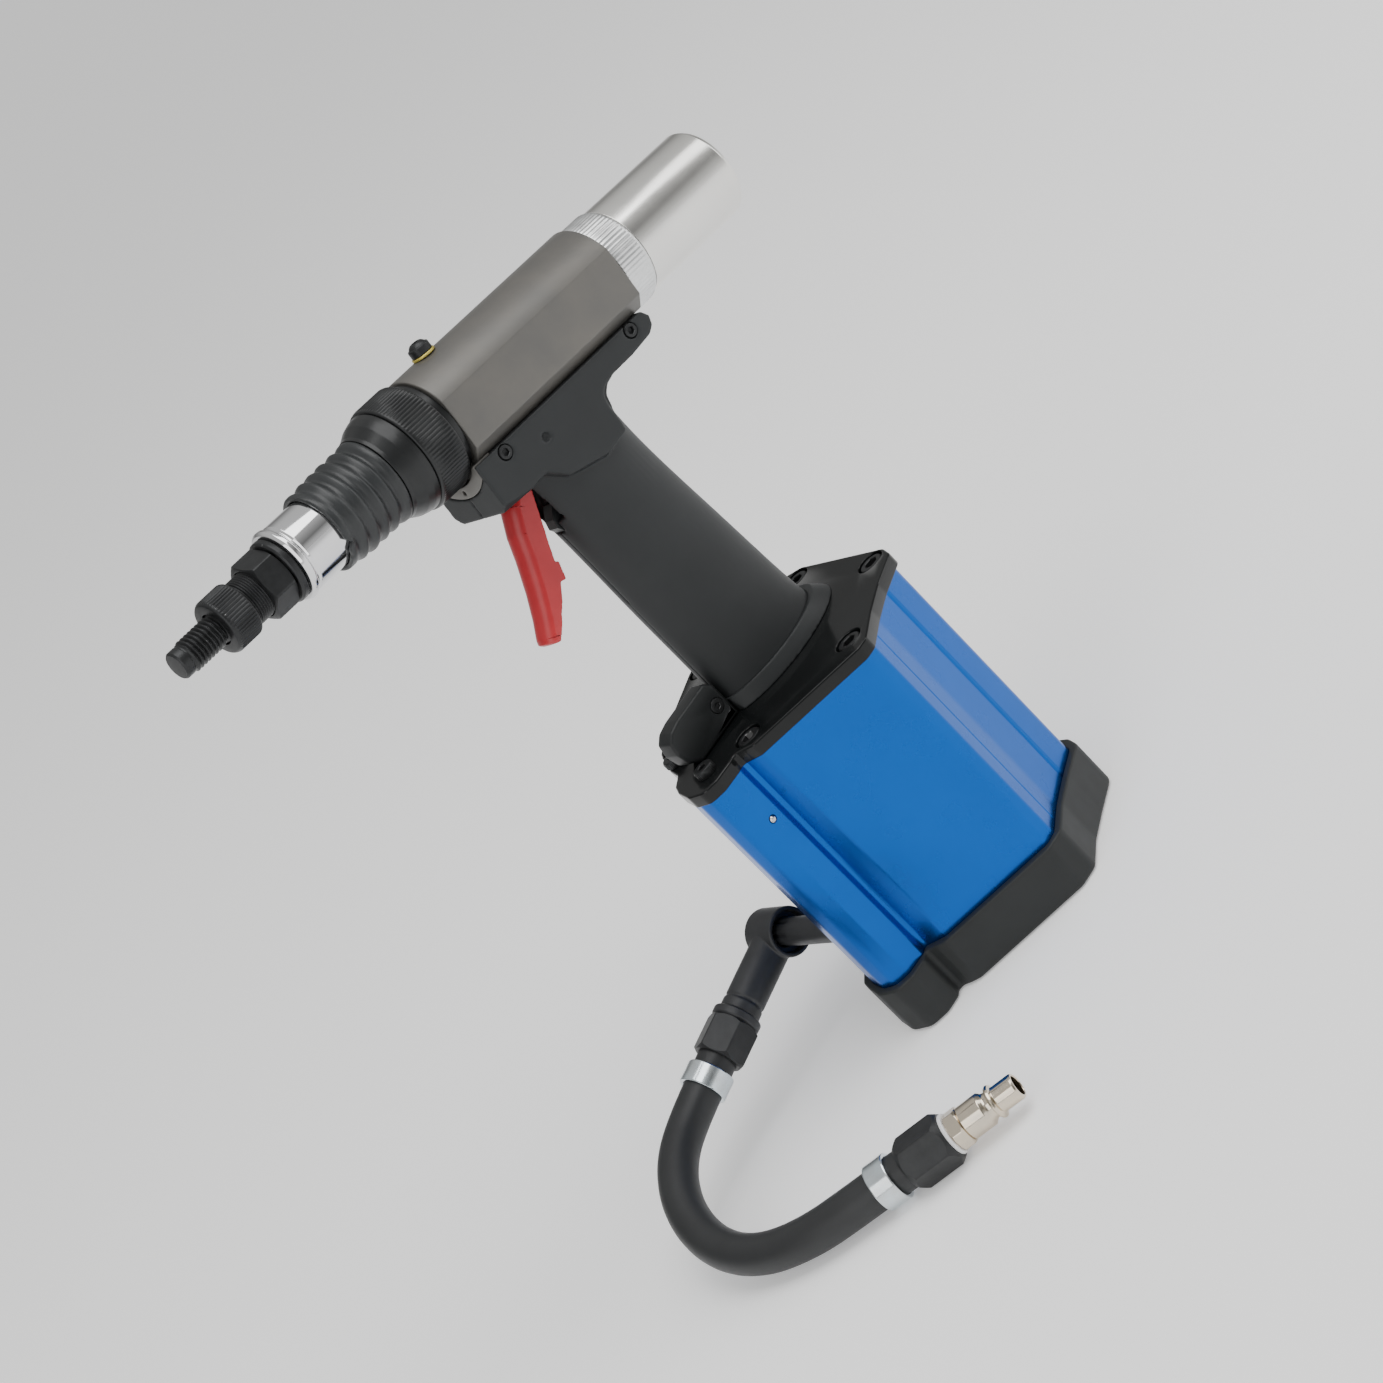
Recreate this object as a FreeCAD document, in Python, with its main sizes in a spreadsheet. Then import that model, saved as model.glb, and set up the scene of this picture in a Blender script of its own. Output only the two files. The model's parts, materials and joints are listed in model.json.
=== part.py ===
import FreeCAD, Part
import os
import math
import Sketcher

V = FreeCAD.Vector

# ---------------------------------------------------------------------------
# Pneumatic setting gun, millimetres.
# Frame: origin at the centre of the boot's underside, +X to the nose,
# +Y the gun's left side, +Z up along the air cylinder and the grip.
# ---------------------------------------------------------------------------

doc = FreeCAD.newDocument("setting_gun")
sheet = doc.addObject("Spreadsheet::Sheet", "Sizes")
VAL = {}
ROW = [0]


def cell(alias, value):
    """Put one driving dimension in the sheet."""
    if alias in VAL:
        return alias
    ROW[0] += 1
    a = "A%d" % ROW[0]
    sheet.set(a, "%.6f" % value)
    sheet.setAlias(a, alias)
    VAL[alias] = float(value)
    return alias


# main dimensions ------------------------------------------------------------
MAIN = {
    # air cylinder
    "cyl_bottom": 19.5, "cyl_length": 100.0, "cyl_bore": 43.0,
    "plate_thick": 5.5, "boot_height": 20.5, "boot_wall": 3.2,
    "bolt_circle": 48.5, "bolt_head_rad": 4.9, "bolt_shank_rad": 3.0,
    "bolt_clear_rad": 3.3, "counterbore_rad": 5.6,
    # pneumatic piston and ram
    "piston_run": 0.05, "piston_thick": 16.0, "ram_rad": 5.0,
    # barrel line
    "barrel_height": 272.1, "barrel_tilt": 7.96,
    "head_half_width": 19.5, "head_rear": -55.0, "head_front": 34.0,
    "head_bore": 14.5, "head_flat": -16.6,
    "rod_rad": 8.0, "stroke": 7.0,
    "mandrel_rad": 6.0, "mandrel_tip": 162.0,
    # grip
    "grip_half_depth": 16.5, "yoke_half": 18.0, "lug_rad": 27.0,
    # hose
    "hose_rad": 7.5, "clamp_rad": 9.1,
    "leg_angle": 9.1,
}
for k in MAIN:
    cell(k, MAIN[k])

TILT = math.radians(VAL["barrel_tilt"])
BH = VAL["barrel_height"]
N = V(math.cos(TILT), 0, math.sin(TILT))
UPV = V(-math.sin(TILT), 0, math.cos(TILT))


def axis_placement(base, zdir, xdir):
    """Placement whose local Z is zdir and local X is xdir (made square)."""
    z = V(zdir).normalize()
    y = z.cross(V(xdir)).normalize()
    x = y.cross(z)
    m = FreeCAD.Matrix(x.x, y.x, z.x, base.x, x.y, y.y, z.y, base.y,
                       x.z, y.z, z.z, base.z, 0, 0, 0, 1)
    return FreeCAD.Placement(m)


# barrel: local Z along the nose, local X down, local Y to the left
BARREL = axis_placement(V(0, 0, BH), N, UPV * -1)


def barrel_xz(s, v):
    """World X and Z of a point at station s and height v on the barrel."""
    return (N.x * s + UPV.x * v, BH + N.z * s + UPV.z * v)


# swivel leg: local Z along the leg, local X square to it in the XZ plane
LEG_A = math.radians(VAL["leg_angle"])
SWIVEL = V(58.3, -40.0, 42.3)
LEGDIR = V(math.cos(LEG_A), 0, -math.sin(LEG_A))
LEG = axis_placement(SWIVEL, LEGDIR, V(0, 1, 0))
# far fittings
FAR = V(147.55, 73.2, 9.2)
FARDIR = V(-0.7244, 0.6894, 0).normalize()
FARP = axis_placement(FAR, FARDIR, V(0, 0, 1))

finals = []
helpers = [0]


def uid(tag):
    helpers[0] += 1
    return "%s_%d" % (tag, helpers[0])


def bind(obj, prop, label, tag, value):
    """Bind a property to a cell: value is a number, an alias or (alias, offset)."""
    if isinstance(value, str):
        obj.setExpression(prop, "Sizes.%s" % value)
        return VAL[value]
    if isinstance(value, tuple):
        obj.setExpression(prop, "Sizes.%s + %.4f" % (value[0], value[1]))
        return VAL[value[0]] + value[1]
    a = cell("%s_%s" % (label, tag), value)
    obj.setExpression(prop, "Sizes.%s" % a)
    return value


def num(value):
    if isinstance(value, str):
        return VAL[value]
    if isinstance(value, tuple):
        return VAL[value[0]] + value[1]
    return float(value)


def origin_plane(body, role):
    for f in body.Origin.OriginFeatures:
        if f.Role == role:
            return f
    raise RuntimeError("no plane " + role)


def origin_axis(body, role):
    return origin_plane(body, role)


def body_new(label, placement=None):
    b = doc.addObject("PartDesign::Body", label)
    b.Label = label
    if placement is not None:
        b.Placement = placement
    return b


def sketch_on(body, role, label, z=0.0):
    sk = body.newObject("Sketcher::SketchObject", label + "_" + uid("sketch"))
    sk.AttachmentSupport = (origin_plane(body, role), [""])
    sk.MapMode = "FlatFace"
    if z:
        sk.AttachmentOffset = FreeCAD.Placement(V(0, 0, num(z)), FreeCAD.Rotation())
        bind(sk, "AttachmentOffset.Base.z", label, uid("level"), z)
    return sk


def poly_sketch(sk, label, pts):
    """Closed polygon whose corners are held by driving dimensions."""
    n = len(pts)
    P = [V(num(p[0]), num(p[1]), 0) for p in pts]
    g = []
    for i in range(n):
        g.append(sk.addGeometry(Part.LineSegment(P[i], P[(i + 1) % n]), False))
    for i in range(n):
        sk.addConstraint(Sketcher.Constraint("Coincident", g[i], 2, g[(i + 1) % n], 1))
    for i in range(n):
        for k, kind in ((0, "DistanceX"), (1, "DistanceY")):
            val = num(pts[i][k])
            if abs(val) < 1e-9:
                axis = -2 if k == 0 else -1
                sk.addConstraint(Sketcher.Constraint("PointOnObject", g[i], 1, axis))
            else:
                c = sk.addConstraint(Sketcher.Constraint(kind, -1, 1, g[i], 1, val))
                bind(sk, "Constraints[%d]" % c, label, uid("p"), pts[i][k])
    return g


def circle_sketch(sk, label, circles):
    for (cx, cy, r) in circles:
        g = sk.addGeometry(Part.Circle(V(num(cx), num(cy), 0), V(0, 0, 1), num(r)), False)
        c = sk.addConstraint(Sketcher.Constraint("Radius", g, num(r)))
        bind(sk, "Constraints[%d]" % c, label, uid("rad"), r)
        for val, kind, axis in ((cx, "DistanceX", -2), (cy, "DistanceY", -1)):
            if abs(num(val)) < 1e-9:
                sk.addConstraint(Sketcher.Constraint("PointOnObject", g, 3, axis))
            else:
                c = sk.addConstraint(Sketcher.Constraint(kind, -1, 1, g, 3, num(val)))
                bind(sk, "Constraints[%d]" % c, label, uid("ctr"), val)


def rounded_edges(pts):
    """Edges of a closed outline whose corners carry radii: (x, y, radius)."""
    n = len(pts)
    edges = []
    ends = []
    for i in range(n):
        p = V(pts[i][0], pts[i][1], 0)
        a = V(pts[i - 1][0], pts[i - 1][1], 0)
        b = V(pts[(i + 1) % n][0], pts[(i + 1) % n][1], 0)
        u = (a - p).normalize()
        w = (b - p).normalize()
        r = pts[i][2]
        ang = math.acos(max(-1, min(1, u.dot(w))))
        if r <= 0 or ang > math.pi - 1e-3:
            ends.append((p, p, None))
            continue
        t = r / math.tan(ang / 2)
        t = min(t, 0.48 * (a - p).Length, 0.48 * (b - p).Length)
        r = t * math.tan(ang / 2)
        q1 = p + u * t
        q2 = p + w * t
        bis = (u + w).normalize()
        mid = p + bis * (math.hypot(t, r) - r)
        ends.append((q1, q2, mid))
    for i in range(n):
        q1, q2, mid = ends[i]
        if mid is not None:
            edges.append(Part.Arc(q1, mid, q2))
        nxt = ends[(i + 1) % n][0]
        if (nxt - q2).Length > 1e-6:
            edges.append(Part.LineSegment(q2, nxt))
    return edges


def outline_sketch(sk, pts):
    g = []
    for e in rounded_edges(pts):
        if isinstance(e, Part.Arc):
            c = e.toShape().Curve
            sh = e.toShape()
            p0 = sh.Vertexes[0].Point
            p1 = sh.Vertexes[-1].Point
            pm = sh.valueAt((sh.FirstParameter + sh.LastParameter) / 2)
            g.append(sk.addGeometry(Part.Arc(p0, pm, p1), False))
        else:
            g.append(sk.addGeometry(e, False))
    return g


def pad(body, sk, label, length, mid=False):
    p = body.newObject("PartDesign::Pad", label + "_" + uid("pad"))
    p.Profile = sk
    p.Length = num(length)
    bind(p, "Length", label, uid("len"), length)
    p.Midplane = mid
    return p


def pocket(body, sk, label, length=None, reverse=False, through=False, mid=False):
    p = body.newObject("PartDesign::Pocket", label + "_" + uid("pocket"))
    p.Profile = sk
    if through:
        p.Type = 1
        p.Midplane = mid
    else:
        p.Length = num(length)
        bind(p, "Length", label, uid("dep"), length)
        p.Midplane = mid
    p.Reversed = reverse
    return p


def revolve(label, pts, placement=None, export=True):
    """Turned piece: profile corners (radius, station) about the local Z axis."""
    b = body_new(label, placement)
    sk = sketch_on(b, "XZ_Plane", label)
    poly_sketch(sk, label, pts)
    r = b.newObject("PartDesign::Revolution", label + "_" + uid("rev"))
    r.Profile = sk
    r.ReferenceAxis = (origin_axis(b, "Z_Axis"), [""])
    r.Angle = 360.0
    b.Tip = r
    if export:
        finals.append(b)
    return b


def cyl(label, r, h, placement=None, export=False):
    o = doc.addObject("Part::Cylinder", uid("cyl") if not export else label)
    bind(o, "Radius", label, uid("rad"), r)
    bind(o, "Height", label, uid("hgt"), h)
    o.Radius = num(r)
    o.Height = num(h)
    if placement is not None:
        o.Placement = placement
    o.Label = label if export else o.Name
    if export:
        finals.append(o)
    return o


def box(label, lo, hi, placement=None):
    o = doc.addObject("Part::Box", uid("box"))
    for prop, d in (("Length", hi[0] - lo[0]), ("Width", hi[1] - lo[1]), ("Height", hi[2] - lo[2])):
        bind(o, prop, label, uid("side"), d)
    base = FreeCAD.Placement(V(*lo), FreeCAD.Rotation())
    o.Placement = placement.multiply(base) if placement is not None else base
    return o


def cut(a, b, label=None, export=False):
    o = doc.addObject("Part::Cut", uid("cut") if not export else label)
    o.Base = a
    o.Tool = b
    if export:
        o.Label = label
        finals.append(o)
    return o


def fuse(objs, label=None, export=False):
    o = doc.addObject("Part::MultiFuse", uid("fuse") if not export else label)
    o.Shapes = objs
    if export:
        o.Label = label
        finals.append(o)
    return o


def common(objs, label=None, export=False):
    o = doc.addObject("Part::MultiCommon", uid("common") if not export else label)
    o.Shapes = objs
    if export:
        o.Label = label
        finals.append(o)
    return o


def compound(objs, label):
    o = doc.addObject("Part::Compound", label)
    o.Links = objs
    o.Label = label
    finals.append(o)
    return o


def side_pad(label, pts, half, export=False, y0=None, y1=None):
    """Flat piece drawn in the XZ plane and padded evenly about Y = 0."""
    b = body_new(label if export else uid(label))
    sk = sketch_on(b, "XZ_Plane", label)
    poly_sketch(sk, label, pts)
    b.Tip = pad(b, sk, label, 2 * half, True)
    if export:
        finals.append(b)
    return b


def at(x, y, z):
    return FreeCAD.Placement(V(x, y, z), FreeCAD.Rotation())


def along_y(x, y, z):
    """Local Z turned to +Y."""
    return FreeCAD.Placement(V(x, y, z), FreeCAD.Rotation(V(1, 0, 0), -90))


def hexagon(af, turn=0.0):
    r = af / math.sqrt(3)
    return [(r * math.cos(math.radians(60 * i + turn)), r * math.sin(math.radians(60 * i + turn))) for i in range(6)]


def hex_pad(label, af, z0, length, placement, turn=0.0, bore=None, chamfer=None, export=True):
    """Hexagon bar piece along local Z, with an optional bore and turned chamfers."""
    b = body_new(label if export else uid(label), placement)
    sk = sketch_on(b, "XY_Plane", label, z0)
    poly_sketch(sk, label, hexagon(af, turn))
    tip = pad(b, sk, label, length)
    if chamfer:
        rc = af / 2.0 + chamfer
        rr = af / math.sqrt(3) + 2
        dz = (af / math.sqrt(3) - rc) * 0.6
        for (za, zb) in ((num(z0), num(z0) + dz), (num(z0) + length, num(z0) + length - dz)):
            sk = sketch_on(b, "XZ_Plane", label)
            zo = za - (0.5 if za < zb else -0.5)
            poly_sketch(sk, label, [(rc, zo), (rc, za), (af / math.sqrt(3) + 0.01, zb), (rr, zb), (rr, zo)])
            g = b.newObject("PartDesign::Groove", label + "_" + uid("groove"))
            g.Profile = sk
            g.ReferenceAxis = (origin_axis(b, "Z_Axis"), [""])
            g.Angle = 360.0
            tip = g
    if bore:
        sk = sketch_on(b, "XY_Plane", label, (num(z0) - 1.0))
        circle_sketch(sk, label, [(0, 0, bore)])
        tip = pocket(b, sk, label, length + 2.0, reverse=True)
    b.Tip = tip
    if export:
        finals.append(b)
    return b


# ---------------------------------------------------------------------------
# Air cylinder: outline of the extrusion, seen from above
# ---------------------------------------------------------------------------
def whole_outline(half, front):
    """Outline from its +Y half (front to rear); the -Y side ends in its own front."""
    return half + [(x, -y, r) for (x, y, r) in reversed(half[10:])] + front


CYL_HALF = [
    (66.2, 4.0, 5.0), (69.2, 13.5, 5.0), (67.8, 20.5, 5.0), (62.5, 23.8, 4.0),
    (53.6, 24.3, 3.0), (50.0, 22.4, 2.0), (47.6, 27.5, 2.0), (45.6, 31.6, 3.0),
    (4.6, 57.9, 5.0), (-0.9, 57.3, 4.0), (-14.6, 47.6, 30.0), (-28.5, 39.8, 20.0),
    (-43.4, 32.4, 5.0), (-46.6, 25.0, 4.0),
]
PLATE_HALF = [
    (66.6, 2.6, 5.0), (70.0, 12.8, 5.0), (68.8, 21.2, 5.0), (63.2, 24.6, 4.0),
    (54.6, 25.0, 3.0), (51.0, 24.2, 2.0), (49.2, 28.4, 3.0), (47.5, 32.8, 3.0),
    (5.6, 60.0, 4.0), (0.6, 60.0, 4.0), (-14.6, 49.4, 30.0), (-28.2, 41.4, 20.0),
    (-44.9, 33.9, 5.0), (-48.5, 26.5, 4.0),
]
CYL_FRONT = [
    (-4.0, -55.0, 4.0), (1.2, -53.4, 4.0), (32.0, -38.8, 10.0), (43.0, -30.2, 5.0),
    (47.6, -24.0, 5.0), (53.4, -15.0, 6.0), (56.8, -6.6, 5.0), (62.6, -1.6, 3.0),
]
PLATE_FRONT = [
    (-3.0, -57.0, 4.0), (2.0, -55.2, 4.0), (33.0, -40.6, 10.0), (44.6, -31.6, 5.0),
    (49.0, -24.5, 5.0), (54.2, -15.5, 6.0), (57.5, -7.0, 5.0), (63.5, -2.5, 3.0),
]
BOOT_FRONT = [
    (-4.0, -58.2, 5.0), (3.0, -56.8, 5.0), (34.0, -42.4, 10.0), (46.0, -33.0, 5.0),
    (51.0, -26.0, 5.0), (57.0, -15.5, 6.0), (60.5, -7.5, 5.0), (66.0, -2.5, 4.0),
]
BOOT_HALF = [
    (68.8, 3.2, 5.0), (72.6, 13.2, 6.0), (71.0, 23.0, 6.0), (64.0, 27.4, 5.0),
    (56.6, 27.4, 4.0), (52.6, 24.6, 2.5), (50.9, 29.8, 3.0), (48.8, 33.8, 4.0),
    (7.2, 60.8, 6.0), (-1.8, 60.8, 6.0), (-15.6, 50.6, 22.0), (-29.6, 43.0, 16.0),
    (-46.4, 34.6, 7.0), (-50.0, 26.0, 6.0),
]


def outline_body(label, pts, z0, length, placement=None, export=True):
    b = body_new(label if export else uid(label), placement)
    sk = sketch_on(b, "XY_Plane", label, z0)
    outline_sketch(sk, pts)
    b.Tip = pad(b, sk, label, length)
    if export:
        finals.append(b)
    return b


BOLT_ANGLES = [30, 90, 150, 210, 270, 330]
BOLTS = [(VAL["bolt_circle"] * math.cos(math.radians(a)), VAL["bolt_circle"] * math.sin(math.radians(a))) for a in BOLT_ANGLES]
FRONT_SCREWS = [(58.5, 14.5), (50.3, -14.6)]
Z_CB = 119.5
Z_PT = 125.0

# cylinder shell -------------------------------------------------------------
b = outline_body("cylinder_shell", whole_outline(CYL_HALF, CYL_FRONT), "cyl_bottom", "cyl_length")
sk = sketch_on(b, "XY_Plane", "cylinder_shell", ("cyl_bottom", -1.0))
circle_sketch(sk, "cylinder_shell", [(0, 0, "cyl_bore")] + [(x, y, "bolt_clear_rad") for x, y in BOLTS])
b.Tip = pocket(b, sk, "cylinder_shell", ("cyl_length", 2.0), reverse=True)
sk = sketch_on(b, "XY_Plane", "cylinder_shell", ("cyl_bottom", 15.0))
circle_sketch(sk, "cylinder_shell", [(57.0, 3.0, 4.5)])
b.Tip = pocket(b, sk, "cylinder_shell", ("cyl_length", -14.0), reverse=True)
sk = sketch_on(b, "XY_Plane", "cylinder_shell", ("cyl_bottom", 85.0))
circle_sketch(sk, "cylinder_shell", [(x, y, 2.1) for x, y in FRONT_SCREWS])
b.Tip = pocket(b, sk, "cylinder_shell", 16.0, reverse=True)
# inlet port through the right-hand side of the front lobe
sk = sketch_on(b, "XZ_Plane", "cylinder_shell", -1.2)
circle_sketch(sk, "cylinder_shell", [(58.3, 42.3, 5.6)])
b.Tip = pocket(b, sk, "cylinder_shell", 32.0, reverse=True)
# ball seat on the left-hand side of the lobe
sk = sketch_on(b, "XZ_Plane", "cylinder_shell", -22.3)
circle_sketch(sk, "cylinder_shell", [(57.8, 98.6, 1.6)])
b.Tip = pocket(b, sk, "cylinder_shell", 6.0, reverse=False)

# top plate ------------------------------------------------------------------
b = outline_body("top_plate", whole_outline(PLATE_HALF, PLATE_FRONT), Z_CB, "plate_thick")
sk = sketch_on(b, "XY_Plane", "top_plate", Z_CB - 1.0)
circle_sketch(sk, "top_plate", [(0, 0, 8.55), (19.0, 0, 2.0), (57.0, 3.0, 3.0)]
              + [(x, y, "bolt_clear_rad") for x, y in BOLTS] + [(x, y, 2.3) for x, y in FRONT_SCREWS])
b.Tip = pocket(b, sk, "top_plate", 8.0, reverse=True)
sk = sketch_on(b, "XY_Plane", "top_plate", 121.6)
circle_sketch(sk, "top_plate", [(x, y, "counterbore_rad") for x, y in BOLTS])
b.Tip = pocket(b, sk, "top_plate", 6.0, reverse=True)

# plate screws, one node -----------------------------------------------------
screws = []
for (x, y) in BOLTS:
    head = cyl("bolt", "bolt_head_rad", 3.0, at(x, y, 121.6))
    shank = cyl("bolt", "bolt_shank_rad", 24.0, at(x, y, 97.6))
    body = fuse([head, shank])
    hx = hex_pad("bolt_socket", 5.0, 0, 4.0, at(x, y, 122.6), turn=15, export=False)
    screws.append(cut(body, hx))
for (x, y) in FRONT_SCREWS:
    head = cyl("lobe_screw", 4.1, 3.2, at(x, y, 125.0))
    shank = cyl("lobe_screw", 2.05, 18.0, at(x, y, 107.5))
    body = fuse([head, shank])
    hx = hex_pad("lobe_socket", 3.0, 0, 4.0, at(x, y, 126.4), turn=10, export=False)
    screws.append(cut(body, hx))
compound(screws, "plate_screws")

# base cover with its clamp boss, inside the boot -----------------------------
b = outline_body("base_cover", whole_outline(CYL_HALF, CYL_FRONT), 8.0, 11.5)
sk = sketch_on(b, "XY_Plane", "base_cover", 12.0)
circle_sketch(sk, "base_cover", [(0, 0, 39.0)])
b.Tip = pocket(b, sk, "base_cover", 9.0, reverse=True)
sk = sketch_on(b, "XY_Plane", "base_cover", 7.0)
circle_sketch(sk, "base_cover", [(x, y, "bolt_clear_rad") for x, y in BOLTS])
b.Tip = pocket(b, sk, "base_cover", 14.0, reverse=True)

# tie nuts under the base cover: one node, six hexagon heads -------------------
nuts = []
for (x, y) in BOLTS:
    head = hex_pad("tie_bolt", 9.0, 0, 3.5, at(x, y, 4.4), turn=0, export=False)
    shank = cyl("tie_bolt", "bolt_shank_rad", 32.0, at(x, y, 7.9))
    nuts.append(fuse([head, shank]))
compound(nuts, "tie_bolts")

# rubber boot ----------------------------------------------------------------
outer = outline_body("boot_outer", whole_outline(BOOT_HALF, BOOT_FRONT), 0.0, "boot_height", export=False)
inner = outline_body("boot_inner", whole_outline(CYL_HALF, CYL_FRONT), 8.0, 40.0, export=False)
well = cyl("boot_well", 41.0, 6.0, at(0, 0, 3.0))
wells = [cyl("boot_well", 6.0, 6.0, at(x, y, 4.0)) for x, y in BOLTS]
lobe_top = box("boot_lobe", (53.5, -40, 20.5), (80, 40, 23.0))
lobe_tall = outline_body("boot_lobe_outer", whole_outline(BOOT_HALF, BOOT_FRONT), 20.0, 3.0, export=False)
lobe = common([lobe_tall, lobe_top])
cut(fuse([outer, lobe]), fuse([inner, well] + wells), "base_boot", export=True)

# ball plug in the lobe ------------------------------------------------------
revolve("lobe_ball_plug", [(0, -1.2), (1.5, -1.2), (1.5, 0.4), (1.2, 1.0), (0.6, 1.4), (0, 1.5)],
        along_y(57.8, 23.6, 98.6))

# ---------------------------------------------------------------------------
# Pneumatic piston, ram and their seals
# ---------------------------------------------------------------------------
revolve("air_piston", [
    ("ram_rad", 25.0), (14.0, 25.0), (16.0, 30.0), (34.0, 30.0), (36.0, 25.0), (("cyl_bore", -0.05), 25.0),
    (("cyl_bore", -0.05), 31.0), (39.5, 31.0), (39.5, 35.0), (("cyl_bore", -0.05), 35.0),
    (("cyl_bore", -0.05), 41.0), (20.0, 41.0), (20.0, 37.5), ("ram_rad", 37.5)])
revolve("piston_seal", [(39.5, 31.2), (42.0, 31.2), (("cyl_bore", -0.03), 32.2), (("cyl_bore", -0.03), 33.8),
                        (42.0, 34.8), (39.5, 34.8)])
revolve("hydraulic_ram", [(0, 21.0), (("ram_rad", -1.0), 21.0), (("ram_rad", -1.0), 25.0), ("ram_rad", 25.0),
                          ("ram_rad", 163.0), (3.8, 165.0), (0, 165.0)])
hex_pad("ram_nut", 13.0, 20.6, 4.4, at(0, 0, 0), bore=4.0)
revolve("ram_gland", [(("ram_rad", 0.05), 110.0), (12.5, 110.0), (12.5, 112.0), (9.5, 112.0), (9.5, 119.5),
                      (("ram_rad", 0.05), 119.5)])
revolve("piston_spring", [(14.2, 41.0), (17.6, 41.0), (17.6, 119.5), (14.2, 119.5)])
revolve("oil_tube", [(5.3, 119.5), (8.5, 119.5), (8.5, 254.0), (5.3, 254.0)])

# ---------------------------------------------------------------------------
# Head: grey housing with its clamping tongue, on the barrel line
# ---------------------------------------------------------------------------
HW = VAL["head_half_width"]
hs = body_new(uid("head_prism"), BARREL)
sk = sketch_on(hs, "XY_Plane", "head_housing", "head_rear")
# local x is down, local y to the left
pA = V(-8.0, HW, 0)
pB = V(-8.0, -HW, 0)
pTop = V(-20.3, 0, 0)
corner = [V(11.5, HW, 0), V(16.6, 14.5, 0), V(16.6, -14.5, 0), V(11.5, -HW, 0)]
sk.addGeometry(Part.Arc(pA, pTop, pB), False)
seq = [pB, corner[3], corner[2], corner[1], corner[0], pA]
for i in range(len(seq) - 1):
    sk.addGeometry(Part.LineSegment(seq[i], seq[i + 1]), False)
hs.Tip = pad(hs, sk, "head_housing", 89.0)
tongue_pts = []
for s, v in ((20.0, -16.5), (20.0, -25.6), (31.0, -25.6), (31.0, -16.5)):
    tongue_pts.append(barrel_xz(s, v))
tongue_f = side_pad("head_tongue_front", tongue_pts, 13.5)
# round lug under the front of the head, flush with the yoke's front face
lug = common([cyl("head_lug", "lug_rad", 8.4, BARREL.multiply(at(0, 0, 30.0))),
              box("head_lug", (16.0, -16.4, 29.0), (30.0, 16.4, 39.0), BARREL)])
tongue_pts = []
for s, v in ((-51.0, -16.5), (-51.0, -20.0), (-49.0, -23.0), (-14.0, -23.0), (-12.0, -16.5)):
    tongue_pts.append(barrel_xz(s, v))
tongue_r = side_pad("head_tongue_rear", tongue_pts, 13.5)
head_all = fuse([hs, tongue_f, tongue_r, lug])
ring_room = cyl("head_ring_room", 22.2, 40.0, BARREL.multiply(at(0, 0, 34.0)))
head_bores = revolve("head_bores", [
    (0, -56.0), (17.0, -56.0), (17.0, -46.0), ("head_bore", -44.0), ("head_bore", 12.0), (16.0, 12.0), (16.0, 35.0), (0, 35.0)],
    BARREL, export=False)
port = cyl("oil_port", 3.0, 20.0, at(0, 0, 250.0))
plug_hole = cyl("plug_hole", 2.5, 14.0, BARREL.multiply(
    FreeCAD.Placement(V(-10.0, 0, 18.0), FreeCAD.Rotation(V(0, 1, 0), -90))))
pin_hole = cyl("lug_pin_hole", 1.0, 5.0, BARREL.multiply(at(24.4, 0, 35.0)))
side_f = (27.9, 255.9)
side_r = (-40.6, 247.0)
side_holes = []
for (x, z) in (side_f, side_r):
    side_holes.append(cyl("side_hole", 1.25, 8.0, along_y(x, 6.5, z)))
    side_holes.append(cyl("side_hole", 1.25, 8.0, along_y(x, -14.5, z)))
cut(head_all, fuse([ring_room, head_bores, port, plug_hole, pin_hole] + side_holes), "head_housing", export=True)

# hydraulic piston, its seals, gland bush and spring ---------------------------
revolve("head_piston", [
    (3.6, -22.0), (10.0, -22.0), (("head_bore", -0.05), -20.0), (("head_bore", -0.05), -18.5), (12.2, -18.5), (12.2, -16.0),
    (("head_bore", -0.05), -16.0), (("head_bore", -0.05), -8.0), (10.0, -7.0), ("rod_rad", -7.0), ("rod_rad", 34.0),
    (9.5, 34.0), (9.5, 95.0), (6.4, 95.0), (6.4, 92.6), (7.4, 92.6), (7.4, 60.0), (3.6, 60.0)], BARREL)
revolve("piston_ring", [(12.2, -18.3), (("head_bore", -0.03), -18.3), (("head_bore", -0.03), -16.2), (12.2, -16.2)], BARREL)
revolve("front_gland", [(("rod_rad", 0.05), 4.0), (("head_bore", -0.02), 4.0), (("head_bore", -0.02), 12.0), (15.9, 12.0), (15.9, 22.0),
                        (("rod_rad", 0.05), 22.0)], BARREL)
revolve("return_spring", [(10.6, -45.9), (13.6, -45.9), (13.6, -29.4), (10.6, -29.4)], BARREL)
revolve("spring_seat", [(3.6, -55.0), (16.9, -55.0), (16.9, -46.1), (3.6, -46.1)], BARREL)

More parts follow.
